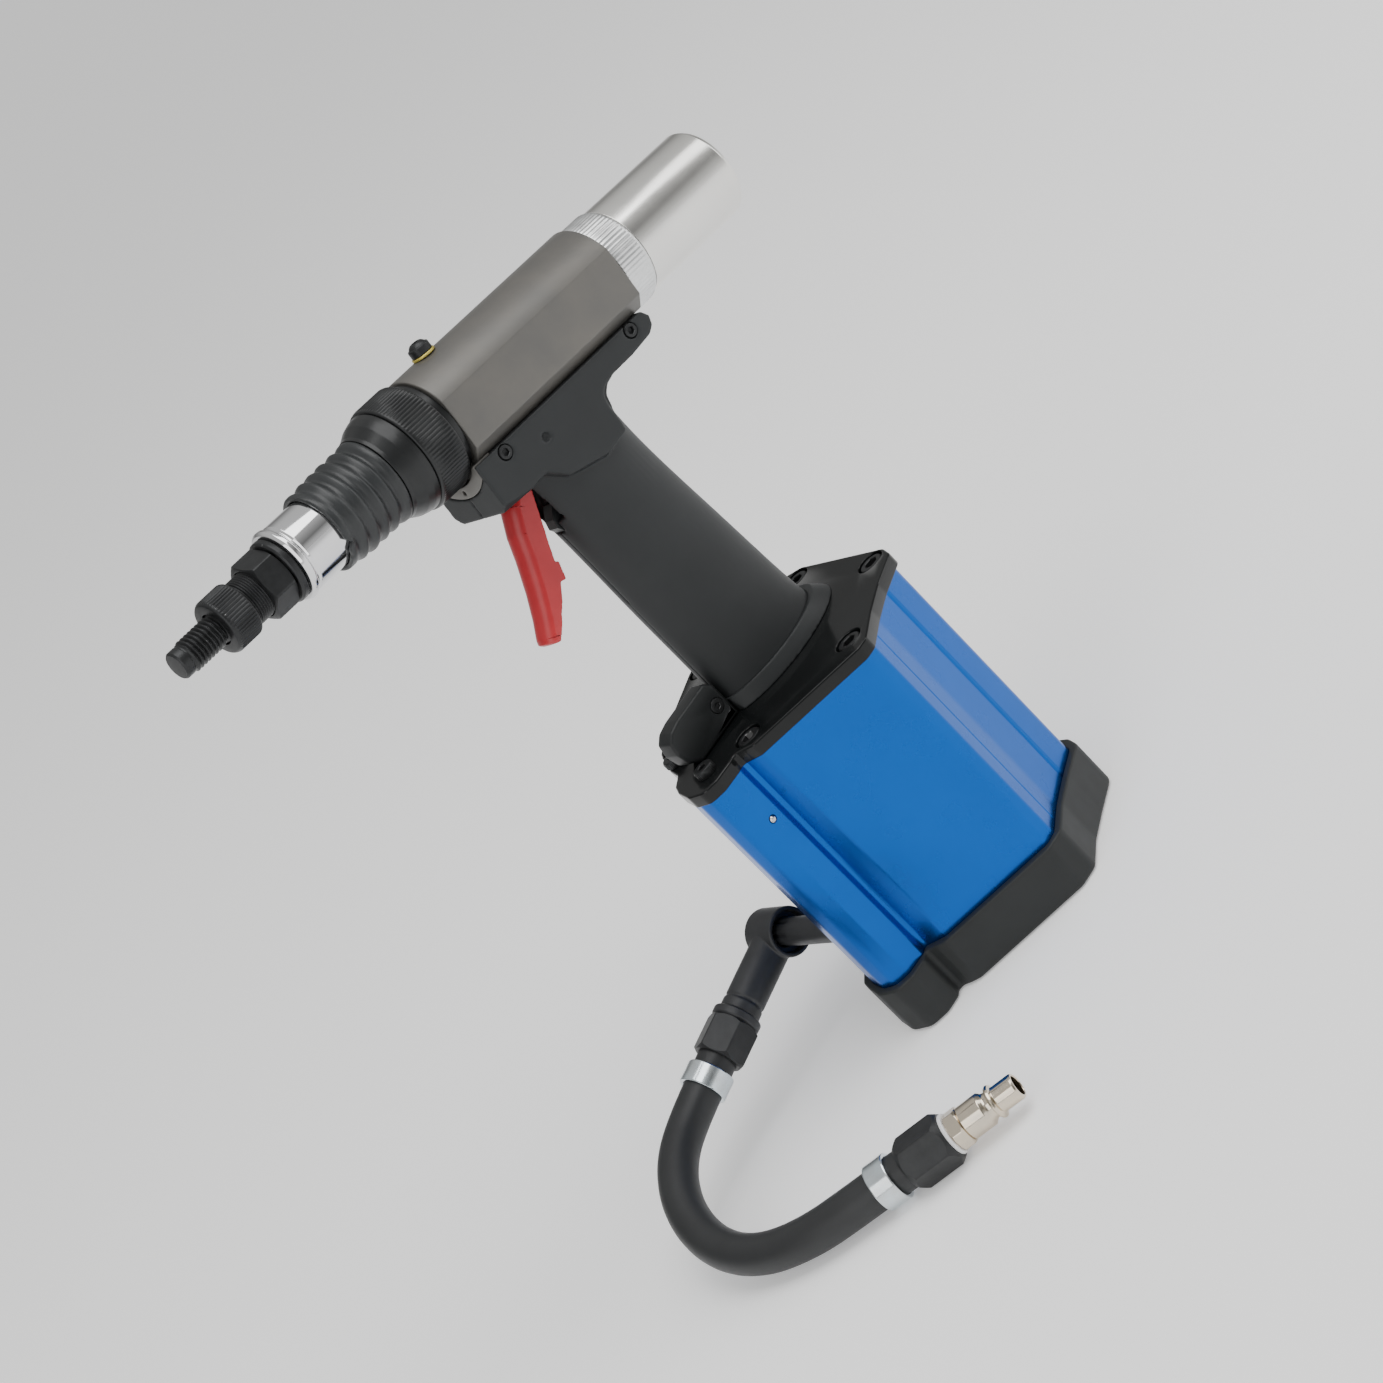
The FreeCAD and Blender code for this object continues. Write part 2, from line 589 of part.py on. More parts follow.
# front: adapter cone, knurled collar, bellows, sleeve and nose ----------------
revolve("cone_adapter", [
    (10.0, 22.2), (15.9, 22.2), (15.9, 34.2), (19.2, 34.2), (19.2, 37.4), (18.6, 37.4), (18.6, 52.2),
    (20.7, 52.2), (19.9, 57.0), (17.3, 61.6), (17.0, 62.6), (14.2, 62.6), (14.2, 66.0), (10.0, 66.0)], BARREL)
kb = revolve("knurled_collar_blank", [(18.65, 37.6), (21.0, 37.6), (21.7, 38.4), (21.7, 51.0), (21.2, 52.0), (18.65, 52.0)], BARREL, export=False)
kb.Label = "knurled_collar"
finals.append(kb)
revolve("bellows_boot", [
    (14.3, 62.7), (17.0, 62.7), (16.9, 64.5), (15.3, 66.5), (16.7, 69.0), (15.3, 71.8), (16.7, 74.4), (15.3, 77.2),
    (16.7, 79.8), (15.2, 82.6), (16.4, 85.2), (15.0, 87.8), (15.9, 90.0), (15.7, 92.0), (13.9, 92.0), (13.9, 86.0),
    (14.0, 70.0), (14.3, 66.2)], BARREL)
revolve("chrome_sleeve", [(10.0, 66.2), (13.8, 66.2), (13.8, 106.9), (10.0, 106.9)], BARREL)
revolve("sleeve_flange", [(10.0, 106.9), (14.1, 106.9), (14.5, 107.6), (14.5, 109.4), (14.1, 110.0), (10.0, 110.0)], BARREL)
revolve("nose_shoulder", [(6.4, 110.0), (12.0, 110.0), (12.6, 110.6), (12.6, 112.6), (12.0, 113.2), (9.0, 113.2), (9.0, 140.0), (6.4, 140.0)], BARREL)
hex_pad("hex_lock_nut", 21.0, 113.3, 10.7, BARREL, turn=12, bore=9.05, chamfer=1.0)
revolve("knurled_nosepiece", [(9.05, 131.2), (10.2, 131.2), (10.7, 131.8), (10.7, 141.6), (10.0, 142.6), (6.4, 142.6), (6.4, 140.2), (9.05, 140.2)], BARREL)

# mandrel and its drive --------------------------------------------------------
mand = revolve("mandrel_blank", [(0, 76.0), (7.0, 76.0), (7.0, 92.2), (("mandrel_rad", -0.1), 92.2), (("mandrel_rad", -0.1), 142.0), (5.2, 142.6), (5.2, 143.2), ("mandrel_rad", 143.2), ("mandrel_rad", 157.2), (5.4, 158.0), (5.4, 161.4),
                                 (4.9, "mandrel_tip"), (0, "mandrel_tip")], BARREL, export=False)
mhex = hex_pad("mandrel_socket", 5.6, 75.0, 15.0, BARREL, export=False)
cut(mand, mhex, "threaded_mandrel", export=True)
hex_pad("drive_shaft", 5.0, -72.0, 153.0, BARREL)

# air motor in the rear tube ----------------------------------------------------
revolve("motor_cylinder", [(12.0, -112.0), (16.8, -112.0), (16.8, -76.0), (12.0, -76.0)], BARREL)
mp1 = revolve("motor_plate_rear", [(4.1, -115.5), (16.8, -115.5), (16.8, -112.0), (4.1, -112.0)], BARREL, export=False)
mp2 = revolve("motor_plate_front", [(4.1, -76.0), (16.8, -76.0), (16.8, -72.2), (4.1, -72.2)], BARREL, export=False)
compound([mp1, mp2], "motor_end_plates")
rot = revolve("rotor_blank", [(0, -115.0), (4.0, -115.0), (4.0, -111.7), (10.6, -111.7), (10.6, -76.3), (4.0, -76.3), (4.0, -72.0), (0, -72.0)],
              BARREL, export=False)
slots = []
for i in range(4):
    pl = BARREL.multiply(FreeCAD.Placement(V(0, 0, 0), FreeCAD.Rotation(V(0, 0, 1), 90 * i)))
    slots.append(box("vane_slot", (5.5, -0.6, -112.0), (12.0, 0.6, -76.0), pl))
cut(rot, fuse(slots), "motor_rotor", export=True)
vanes = []
for i in range(4):
    pl = BARREL.multiply(FreeCAD.Placement(V(0, 0, 0), FreeCAD.Rotation(V(0, 0, 1), 90 * i)))
    vanes.append(box("vane", (6.0, -0.55, -111.6), (11.8, 0.55, -76.4), pl))
compound(vanes, "motor_vanes")
sr = revolve("serrated_blank", [(3.7, -68.0), (18.2, -68.0), (19.3, -67.0), (19.3, -56.0), (18.6, -55.1), (3.7, -55.1)], BARREL, export=False)
sr.Label = "serrated_ring"
finals.append(sr)
revolve("rear_tube", [
    (17.1, -72.0), (16.0, -72.0), (16.0, -68.1), (18.5, -68.1), (18.5, -117.0), (17.9, -118.4), (16.5, -119.0), (0, -119.0),
    (0, -116.6), (17.1, -116.6)], BARREL)

# oil plug on the head's crown ---------------------------------------------------
PLUGP = BARREL.multiply(FreeCAD.Placement(V(0, 0, 18.0), FreeCAD.Rotation(V(0, 1, 0), -90)))
pl_b = revolve("plug_blank", [(0, 16.1), (2.4, 16.1), (2.4, 21.4), (4.2, 21.4), (4.2, 23.4), (3.4, 25.4), (2.4, 26.0), (0, 26.0)], PLUGP, export=False)
ph = hex_pad("plug_socket", 2.5, 24.2, 3.0, PLUGP, export=False)
cut(pl_b, ph, "oil_plug", export=True)
revolve("plug_washer", [(2.5, 20.35), (4.7, 20.35), (4.7, 21.35), (2.5, 21.35)], PLUGP)

# ---------------------------------------------------------------------------
# Grip and yoke: two half shells on the mid plane
# ---------------------------------------------------------------------------
loft_secs = []
for (z, cx, ax, ay) in ((125.0, 0.2, 27.6, 17.4), (133.0, 0.4, 26.6, 16.7), (160.0, 1.2, 25.3, 16.3), (200.0, 2.2, 23.9, 16.0), (232.0, 2.6, 24.2, 16.6), (243.0, 2.6, 25.5, 17.4)):
    e = doc.addObject("Part::Ellipse", uid("grip_section"))
    bind(e, "MajorRadius", "grip", uid("major"), ax)
    bind(e, "MinorRadius", "grip", uid("minor"), ay)
    e.MajorRadius = ax
    e.MinorRadius = ay
    e.Placement = at(cx, 0, z)
    loft_secs.append(e)
grip = doc.addObject("Part::Loft", uid("grip_loft"))
grip.Sections = loft_secs
grip.Solid = True
grip.Ruled = False
yp = []
for s, v in ((-51.5, -16.6), (38.5, -16.6)):
    yp.append(barrel_xz(s, v))
yoke_pts = [yp[0], (-50.4, 245.0), (-48.6, 241.8), (-45.4, 240.4), (-34.0, 240.9), (-24.0, 242.2), (-18.1, 241.9), (-15.0, 240.0), (-13.7, 236.3),
            (-13.0, 230.0), (-12.0, 226.0), (0.0, 226.0), (16.0, 232.0), (22.0, 239.6), (31.0, 240.2), (38.0, 241.2), (43.1, 241.8), yp[1]]
yoke = side_pad("yoke_plate", yoke_pts, VAL["yoke_half"])
# narrower web under the tail, where the grip runs up into it
web = side_pad("yoke_web", [(-40.0, 242.0), (-29.7, 238.8), (-25.2, 238.1), (-22.1, 236.1), (-20.7, 232.4), (-18.0, 228.0), (-10.0, 228.0), (-10.0, 244.0), (-40.0, 244.0)], 7.0)
# lower edges of the yoke fall away towards its front face
bev = []
for sgn in (1, -1):
    base = BARREL.multVec(V(35.7, sgn * 18.0, 24.0))
    out = BARREL.Rotation.multVec(V(58.0, sgn * 42.05, 9.6))
    slope = box("yoke_bevel", (-30, -30, 0), (30, 30, 12), axis_placement(base, out, N))
    bev.append(common([slope, box("yoke_bevel_room", (30.0, -25, 24.0), (38.5, 25, 45.0), BARREL)]))
grip_all = fuse([grip, yoke, web])
cavity_secs = []
for (z, cx, ax, ay) in ((139.0, 0.6, 22.4, 13.0), (180.0, 1.6, 21.2, 12.8), (224.0, 2.4, 20.9, 12.8)):
    e = doc.addObject("Part::Ellipse", uid("cavity_section"))
    bind(e, "MajorRadius", "cavity", uid("major"), ax)
    bind(e, "MinorRadius", "cavity", uid("minor"), ay)
    e.MajorRadius = ax
    e.MinorRadius = ay
    e.Placement = at(cx, 0, z)
    cavity_secs.append(e)
cavity = doc.addObject("Part::Loft", uid("cavity_loft"))
cavity.Sections = cavity_secs
cavity.Solid = True
cavity.Ruled = False
tube_room = cyl("tube_room", 8.6, 150.0, at(0, 0, 120.0))
valve_room = cyl("valve_room", 4.5, 20.0, at(19.0, 0, 120.0))
ring_clear = common([cyl("ring_clear", ("lug_rad", 0.1), 30.0, BARREL.multiply(at(0, 0, 29.9))),
                     box("ring_room", (10.0, -16.5, 29.0), (60.0, 16.5, 60.0), BARREL)])
tf = side_pad("tongue_room_front", [barrel_xz(s, v) for s, v in ((19.9, -16.0), (19.9, -25.7), (31.1, -25.7), (31.1, -16.0))], 13.55)
tr = side_pad("tongue_room_rear", [barrel_xz(s, v) for s, v in ((-51.1, -16.0), (-51.1, -20.1), (-49.0, -23.1), (-13.9, -23.1), (-11.9, -16.0))], 13.55)
# slot for the trigger: open to the front and below the yoke
slot_pts = [(8.8, 252.6), (8.8, 243.8), (14.0, 240.0), (17.0, 233.5), (22.4, 221.0), (30.0, 221.0), (39.8, 231.0), (39.8, 242.0), (36.0, 246.0), (30.0, 249.0), (24.0, 252.6)]
slot = side_pad("trigger_slot", slot_pts, 6.6)
rod_room = cyl("rod_room", 2.2, 20.0, at(19.0, 0, 220.0))
pin_room = cyl("pin_room", 1.5, 30.0, along_y(12.6, -15.0, 247.6))
pin_mouth = cyl("pin_mouth", 1.7, 40.0, along_y(12.6, -20.0, 247.6))
pin_keep = cyl("pin_keep", 5.0, 33.0, along_y(12.6, -16.5, 247.6))
mouth = cut(pin_mouth, pin_keep)
scr = []
for (x, z) in (side_f, side_r):
    for sgn in (1, -1):
        scr.append(cyl("cheek_hole", 1.6, 8.0, along_y(x, 13.0 if sgn > 0 else -21.0, z)))
        scr.append(cyl("cheek_recess", 2.9, 4.0, along_y(x, 15.4 if sgn > 0 else -19.4, z)))
stop_room = side_pad("stop_room", [(20.55, 216.55), (32.0, 216.55), (32.0, 227.0), (20.55, 227.0)], 3.0)
# the head's own shape below its flat is cleared by the tongue rooms; the grip is cut flat along the seam
grip_cut = cut(grip_all, fuse([cavity, tube_room, valve_room, ring_clear, tf, tr, slot, rod_room, stop_room, pin_room, mouth] + scr + bev))
seam_box = box("seam_box", (-40.0, -40, -90), (16.6, 40, 90), BARREL)
grip_cut2 = cut(grip_cut, seam_box)
left_half = box("left_half", (-80, 0.0, 100), (90, 40, 300))
right_half = box("right_half", (-80, -40, 100), (90, 0.0, 300))
common([grip_cut2, left_half], "grip_shell_left", export=True)
common([grip_cut2, right_half], "grip_shell_right", export=True)

# side screws, one node -------------------------------------------------------
ss = []
for (x, z) in (side_f, side_r):
    for sgn in (1, -1):
        rot = FreeCAD.Rotation(V(1, 0, 0), -90 if sgn > 0 else 90)
        pl = FreeCAD.Placement(V(x, 0, z), rot)
        head = cyl("side_screw", 2.75, 2.6, pl.multiply(at(0, 0, 15.5)))
        shank = cyl("side_screw", 1.2, 7.6, pl.multiply(at(0, 0, 8.0)))
        hx = hex_pad("side_socket", 2.5, 16.6, 3.0, pl, turn=20, export=False)
        ss.append(cut(fuse([head, shank]), hx))
compound(ss, "yoke_screws")

# trigger, pin, stop and the rod to the valve ----------------------------------
trig_pts = [(12.6, 251.0), (20.0, 249.6), (28.5, 244.6), (35.5, 238.8), (41.4, 230.4), (45.4, 222.6), (51.4, 212.5), (56.9, 204.6), (61.3, 199.2), (62.1, 197.4),
            (60.6, 195.6), (57.0, 196.8), (53.0, 198.6), (46.9, 202.9), (41.9, 207.8), (39.7, 206.8), (36.9, 213.0), (38.0, 213.9), (35.0, 219.3), (31.9, 224.4),
            (28.5, 230.4), (25.8, 235.0), (24.6, 236.9), (19.0, 237.4), (12.6, 244.2)]
tb = side_pad("trigger_blade", trig_pts, 6.0)
hub = cyl("trigger_hub", 3.4, 12.0, along_y(12.6, -6.0, 247.6))
hub_bore = cyl("trigger_bore", 1.55, 14.0, along_y(12.6, -7.0, 247.6))
cut(fuse([tb, hub]), hub_bore, "trigger", export=True)
cyl("trigger_pin", 1.5, 29.6, along_y(12.6, -14.8, 247.6), export=True)
stop = side_pad("trigger_stop", [(20.6, 226.9), (22.0, 226.9), (25.8, 222.6), (26.8, 219.6), (25.2, 216.6), (20.6, 216.6)], 2.9, export=True)
revolve("valve_rod", [(0, 131.0), (1.5, 131.0), (1.5, 236.2), (1.1, 236.8), (0, 236.8)], at(19.0, 0, 0))
revolve("valve_cartridge", [(0, 125.1), (4.4, 125.1), (4.4, 138.8), (1.55, 138.8), (1.55, 134.5), (2.4, 134.5), (2.4, 126.1), (0, 126.1)], at(19.0, 0, 0))
revolve("trigger_spring", [(0.7, 126.1), (2.1, 126.1), (2.1, 131.0), (0.7, 131.0)], at(19.0, 0, 0))

# flared collar round the grip's foot --------------------------------------------
ce = doc.addObject("Part::Ellipse", uid("collar_low"))
bind(ce, "MajorRadius", "collar", "low_major", 33.0)
bind(ce, "MinorRadius", "collar", "low_minor", 20.5)
ce.MajorRadius = 33.0
ce.MinorRadius = 20.5
ce.Placement = at(-2.0, 0, 125.0)
ce2 = doc.addObject("Part::Ellipse", uid("collar_mid"))
bind(ce2, "MajorRadius", "collar", "mid_major", 31.4)
bind(ce2, "MinorRadius", "collar", "mid_minor", 19.6)
ce2.MajorRadius = 31.4
ce2.MinorRadius = 19.6
ce2.Placement = at(-1.6, 0, 127.5)
ce3 = doc.addObject("Part::Ellipse", uid("collar_top"))
bind(ce3, "MajorRadius", "collar", "top_major", 29.0)
bind(ce3, "MinorRadius", "collar", "top_minor", 18.0)
ce3.MajorRadius = 29.0
ce3.MinorRadius = 18.0
ce3.Placement = at(-0.6, 0, 131.0)
cl = doc.addObject("Part::Loft", uid("collar_loft"))
cl.Sections = [ce, ce2, ce3]
cl.Solid = True
cl.Ruled = True
front_trim = box("collar_front", (27.5, -10, 124), (40, 10, 135))
cut(cl, fuse([grip, front_trim, tube_room, valve_room]), "grip_collar", export=True)

# valve block with its cover screw -------------------------------------------------
vb_pts = [(28.4, 125.3), (28.4, 139.6), (31.0, 142.6), (48.6, 142.6), (53.6, 141.8), (57.0, 139.4), (58.0, 134.4), (56.6, 128.6), (52.0, 125.3)]
vb = side_pad("valve_block_blank", vb_pts, 6.5)
vb_trim = box("valve_block_trim", (20, -10, 120), (70, -2.5, 150))
vs_hole = cyl("valve_screw_hole", 2.9, 3.0, along_y(33.2, 5.0, 133.4))
cut(vb, fuse([vs_hole, vb_trim]), "valve_block", export=True)
vh = cyl("valve_screw", 2.8, 2.0, along_y(33.2, 5.0, 133.4))
vx = hex_pad("valve_screw_socket", 2.0, 6.0, 2.0, along_y(33.2, 0, 133.4), export=False)
cut(vh, vx, "valve_screw", export=True)

# ---------------------------------------------------------------------------
# Air inlet: fixed stem, swivel, coupling, hose and quick plug
# ---------------------------------------------------------------------------
# stem along -Y from the lobe: local Z is +Y, stations are negative to the outside
STEM = along_y(58.3, 0, 42.3)
st = revolve("stem_blank", [(0, -47.0), (5.4, -47.0), (5.4, 1.0), (0, 1.0)], STEM, export=False)
flats = []
for i in range(6):
    a = math.radians(60 * i)
    flats.append(cyl("stem_flute", 1.3, 8.0, STEM.multiply(at(5.9 * math.cos(a), 5.9 * math.sin(a), -32.2))))
stem_bore = cyl("stem_bore", 2.6, 48.0, STEM.multiply(at(0, 0, -45.0)))
cut(st, fuse(flats + [stem_bore]), "inlet_stem", export=True)
# swivel: banjo ring and leg
sw_outer = revolve("swivel_outer", [(0, -49.6), (8.2, -49.6), (9.6, -48.0), (9.6, -32.2), (9.2, -31.4), (0, -31.4)], STEM, export=False)
leg = revolve("leg_blank", [(0, 2.0), (7.6, 2.0), (7.6, 29.6), (7.2, 30.0), (7.2, 30.8), (7.7, 31.2), (7.7, 35.0), (7.2, 35.4), (0, 35.4)], LEG, export=False)
sw_bore = revolve("swivel_bore", [(0, -47.3), (5.45, -47.3), (5.45, -35.0), (7.9, -35.0), (7.9, -30.0), (0, -30.0)], STEM, export=False)
leg_bore = cyl("leg_bore", 2.6, 40.0, LEG.multiply(at(0, 0, 6.0)))
cut(fuse([sw_outer, leg]), fuse([sw_bore, leg_bore]), "swivel_elbow", export=True)
revolve("swivel_collar", [(2.6, 35.4), (9.2, 35.4), (9.3, 35.8), (9.3, 38.4), (8.6, 39.0), (2.6, 39.0)], LEG)
hex_pad("inlet_coupling", 18.0, 39.0, 15.0, LEG, turn=18, bore=3.0, chamfer=1.0)
clamp_a = revolve("hose_clamp_inner", [(("hose_rad", 0.05), 59.0), ("clamp_rad", 59.0), ("clamp_rad", 67.4), (("hose_rad", 0.05), 67.4)], LEG, export=False)

# hose ----------------------------------------------------------------------------
def leg_point(t):
    return SWIVEL + LEGDIR * t


def far_point(q):
    return FAR + FARDIR * q


HOSE_MID = [V(155.0, -32.5, 28.0), V(171.5, -18.5, 21.5), V(180.7, 1.0, 13.6), V(181.3, 24.0, 9.4), V(172.0, 47.0, 8.8)]
ROUTE = [leg_point(54.0), leg_point(76.0)] + HOSE_MID + [far_point(8.8) - FARDIR * 21.2, far_point(8.8)]
segs = []
cursor = ROUTE[0]
radii = []
path_len = 0.0
for i in range(1, len(ROUTE) - 1):
    a, p, c = ROUTE[i - 1], ROUTE[i], ROUTE[i + 1]
    u = (a - p)
    w = (c - p)
    la, lb = u.Length, w.Length
    u.normalize()
    w.normalize()
    turn = math.pi - math.acos(max(-1, min(1, u.dot(w))))
    t = 0.45 * min(la, lb)
    r = t / math.tan(turn / 2)
    radii.append(r)
    q1 = p + u * t
    q2 = p + w * t
    bis = (u + w).normalize()
    mid = p + bis * (math.hypot(t, r) - r)
    segs.append(Part.LineSegment(cursor, q1).toShape())
    segs.append(Part.Arc(q1, mid, q2).toShape())
    path_len += (q1 - cursor).Length + r * turn
    cursor = q2
segs.append(Part.LineSegment(cursor, ROUTE[-1]).toShape())
path_len += (ROUTE[-1] - cursor).Length
path = Part.Wire(segs)
HR = VAL["hose_rad"]
circle = Part.Wire([Part.Circle(ROUTE[0], LEGDIR, HR).toShape()])
tube = path.makePipeShell([circle], True, False)
hose = doc.addObject("Part::Feature", "air_hose")
hose.Label = "air_hose"
hose.Shape = tube
finals.append(hose)
print("hose radii mm:", [round(r, 1) for r in radii])
print("hose path length mm: %.1f  volume ratio %.4f" % (path_len, tube.Volume / (math.pi * HR * HR * path_len)))
print("hose runs mm:", [round((ROUTE[i + 1] - ROUTE[i]).Length, 1) for i in range(len(ROUTE) - 1)])
print("hose route:", [(round(p.x, 2), round(p.y, 2), round(p.z, 2)) for p in ROUTE])

# far end --------------------------------------------------------------------------
clamp_b = revolve("hose_clamp_outer", [(("hose_rad", 0.05), -4.2), ("clamp_rad", -4.2), ("clamp_rad", 4.2), (("hose_rad", 0.05), 4.2)], FARP, export=False)
compound([clamp_a, clamp_b], "hose_clamps")
hex_pad("end_coupling", 18.0, 8.8, 19.0, FARP, turn=30, bore=3.0, chamfer=1.0)
revolve("seal_washer", [(3.8, 27.8), (7.9, 27.8), (7.9, 29.2), (3.8, 29.2)], FARP)
qh = hex_pad("plug_hex", 13.2, 29.2, 5.2, FARP, turn=12, export=False, chamfer=0.5)
qb = revolve("plug_body", [(0, 34.0), (5.6, 34.0), (6.4, 34.6), (6.4, 43.4), (5.4, 44.4), (5.0, 44.4), (5.0, 46.4), (6.3, 46.8), (6.5, 47.4), (6.3, 48.2), (4.6, 48.5), (4.6, 49.0), (4.9, 49.0),
                           (4.9, 56.4), (4.5, 57.0), (0, 57.0)], FARP, export=False)
qbore = cyl("plug_bore", 3.7, 40.0, FARP.multiply(at(0, 0, 25.0)))
cut(fuse([qh, qb]), qbore, "quick_plug", export=True)

# ---------------------------------------------------------------------------
doc.recompute()
bad = []
for o in doc.Objects:
    st = list(getattr(o, "State", []))
    if "Invalid" in st or "Error" in st:
        bad.append(o.Name + " " + str(st))
for o in finals:
    sh = o.Shape
    if sh.isNull() or not sh.isValid():
        bad.append("shape of " + o.Label)
if bad:
    for t in bad:
        print("BAD", t)
    raise SystemExit("model is not sound")

os.makedirs("parts", exist_ok=True)
for f in os.listdir("parts"):
    if f.endswith(".step"):
        os.remove(os.path.join("parts", f))
labels = [o.Label for o in finals]
if len(set(labels)) != len(labels):
    raise SystemExit("a label is used twice")
for o in finals:
    o.Shape.exportStep("parts/%s.step" % o.Label)
    bb = o.Shape.BoundBox
    print("%-20s solids %2d vol %9.1f  x %7.1f %7.1f  y %7.1f %7.1f  z %7.1f %7.1f" % (
        o.Label, len(o.Shape.Solids), o.Shape.Volume, bb.XMin, bb.XMax, bb.YMin, bb.YMax, bb.ZMin, bb.ZMax))
print(len(finals), "nodes")
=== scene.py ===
import bpy
import json
import math
import bmesh
from mathutils import Vector, Matrix
from mathutils.geometry import delaunay_2d_cdt


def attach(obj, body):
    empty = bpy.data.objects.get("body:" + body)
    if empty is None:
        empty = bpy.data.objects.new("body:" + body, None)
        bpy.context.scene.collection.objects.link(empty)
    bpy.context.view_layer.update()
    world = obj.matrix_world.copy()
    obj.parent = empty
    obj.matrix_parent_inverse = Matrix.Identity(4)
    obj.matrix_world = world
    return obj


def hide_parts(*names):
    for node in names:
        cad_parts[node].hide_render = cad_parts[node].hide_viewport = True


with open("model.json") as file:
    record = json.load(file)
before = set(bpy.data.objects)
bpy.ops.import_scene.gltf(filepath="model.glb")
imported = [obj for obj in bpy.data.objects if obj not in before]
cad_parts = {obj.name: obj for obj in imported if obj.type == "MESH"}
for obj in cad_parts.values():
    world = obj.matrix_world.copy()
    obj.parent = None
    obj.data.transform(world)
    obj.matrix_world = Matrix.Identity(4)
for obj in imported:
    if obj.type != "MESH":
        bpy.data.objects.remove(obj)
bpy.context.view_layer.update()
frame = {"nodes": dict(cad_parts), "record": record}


NODES = frame["nodes"]
MM = 0.001

# ---------------------------------------------------------------------------
# frames, the same as the design's
# ---------------------------------------------------------------------------


def axes(base, zdir, xdir):
    z = Vector(zdir).normalized()
    y = z.cross(Vector(xdir)).normalized()
    x = y.cross(z)
    m = Matrix.Identity(4)
    for i in range(3):
        m[i][0], m[i][1], m[i][2], m[i][3] = x[i], y[i], z[i], base[i]
    return m


TILT = math.radians(7.96)
NOSE = Vector((math.cos(TILT), 0, math.sin(TILT)))
UPV = Vector((-math.sin(TILT), 0, math.cos(TILT)))
WORLD = Matrix.Identity(4)
BARREL = axes((0, 0, 272.1), NOSE, -UPV)
LEG_A = math.radians(9.1)
SWIVEL = Vector((58.3, -40.0, 42.3))
LEGDIR = Vector((math.cos(LEG_A), 0, -math.sin(LEG_A)))
LEG = axes(SWIVEL, LEGDIR, (0, 1, 0))
FAR = Vector((147.55, 73.2, 9.2))
FARDIR = Vector((-0.7244, 0.6894, 0)).normalized()
FARP = axes(FAR, FARDIR, (0, 0, 1))
STEM = axes((58.3, 0, 42.3), (0, 1, 0), (1, 0, 0))


def barrel_xz(s, v):
    return (NOSE.x * s + UPV.x * v, 272.1 + NOSE.z * s + UPV.z * v)


def at(m, x, y, z):
    return m @ Matrix.Translation((x, y, z))


# ---------------------------------------------------------------------------
# mesh building
# ---------------------------------------------------------------------------
class Mesh:
    def __init__(self):
        self.v = []
        self.f = []

    def ring(self, m, pts):
        i0 = len(self.v)
        for p in pts:
            self.v.append((m @ Vector(p)) * MM)
        return list(range(i0, i0 + len(pts)))

    def point(self, m, p):
        self.v.append((m @ Vector(p)) * MM)
        return len(self.v) - 1

    def bridge(self, a, b, closed=True):
        n = len(a)
        for i in range(n if closed else n - 1):
            j = (i + 1) % n
            self.f.append((a[i], a[j], b[j], b[i]))

    def fan(self, a, c):
        n = len(a)
        for i in range(n):
            self.f.append((a[i], a[(i + 1) % n], c))

    def face(self, a):
        self.f.append(tuple(a))

    def obj(self, name, smooth=32.0, weld=1e-6):
        me = bpy.data.meshes.new(name)
        me.from_pydata([tuple(p) for p in self.v], [], self.f)
        bm = bmesh.new()
        bm.from_mesh(me)
        bmesh.ops.remove_doubles(bm, verts=bm.verts, dist=weld)
        bmesh.ops.dissolve_degenerate(bm, edges=bm.edges, dist=1e-7)
        loose = [v for v in bm.verts if not v.link_faces]
        bmesh.ops.delete(bm, geom=loose, context="VERTS")
        bmesh.ops.recalc_face_normals(bm, faces=bm.faces)
        bm.to_mesh(me)
        bm.free()
        me.shade_smooth()
        me.set_sharp_from_angle(angle=math.radians(smooth))
        o = bpy.data.objects.new(name, me)
        bpy.context.scene.collection.objects.link(o)
        return o


def arc_pts(p, a, b, r, n):
    """Rounded corner at p between the neighbours a and b (2-D)."""
    p, a, b = Vector(p), Vector(a), Vector(b)
    u = (a - p)
    w = (b - p)
    lu, lw = u.length, w.length
    u.normalize()
    w.normalize()
    ang = math.acos(max(-1.0, min(1.0, u.dot(w))))
    if r <= 0 or ang > math.pi - 1e-3 or ang < 1e-3:
        return [p]
    t = min(r / math.tan(ang / 2), 0.49 * lu, 0.49 * lw)
    r = t * math.tan(ang / 2)
    c = p + (u + w).normalized() * (r / math.sin(ang / 2))
    q0 = p + u * t - c
    q1 = p + w * t - c
    full = q0.angle(q1)
    sgn = 1 if (q0.x * q1.y - q0.y * q1.x) > 0 else -1
    out = []
    for i in range(n + 1):
        k = sgn * full * i / n
        out.append(c + Vector((q0.x * math.cos(k) - q0.y * math.sin(k), q0.x * math.sin(k) + q0.y * math.cos(k))))
    return out


def rounded(pts, n=6, closed=True):
    """Points (x, y[, radius]) with their corners rounded."""
    out = []
    m = len(pts)
    for i in range(m):
        r = pts[i][2] if len(pts[i]) > 2 else 0.0
        if not closed and (i == 0 or i == m - 1):
            out.append(Vector(pts[i][:2]))
            continue
        out += arc_pts(pts[i][:2], pts[i - 1][:2], pts[(i + 1) % m][:2], r, n)
    return out


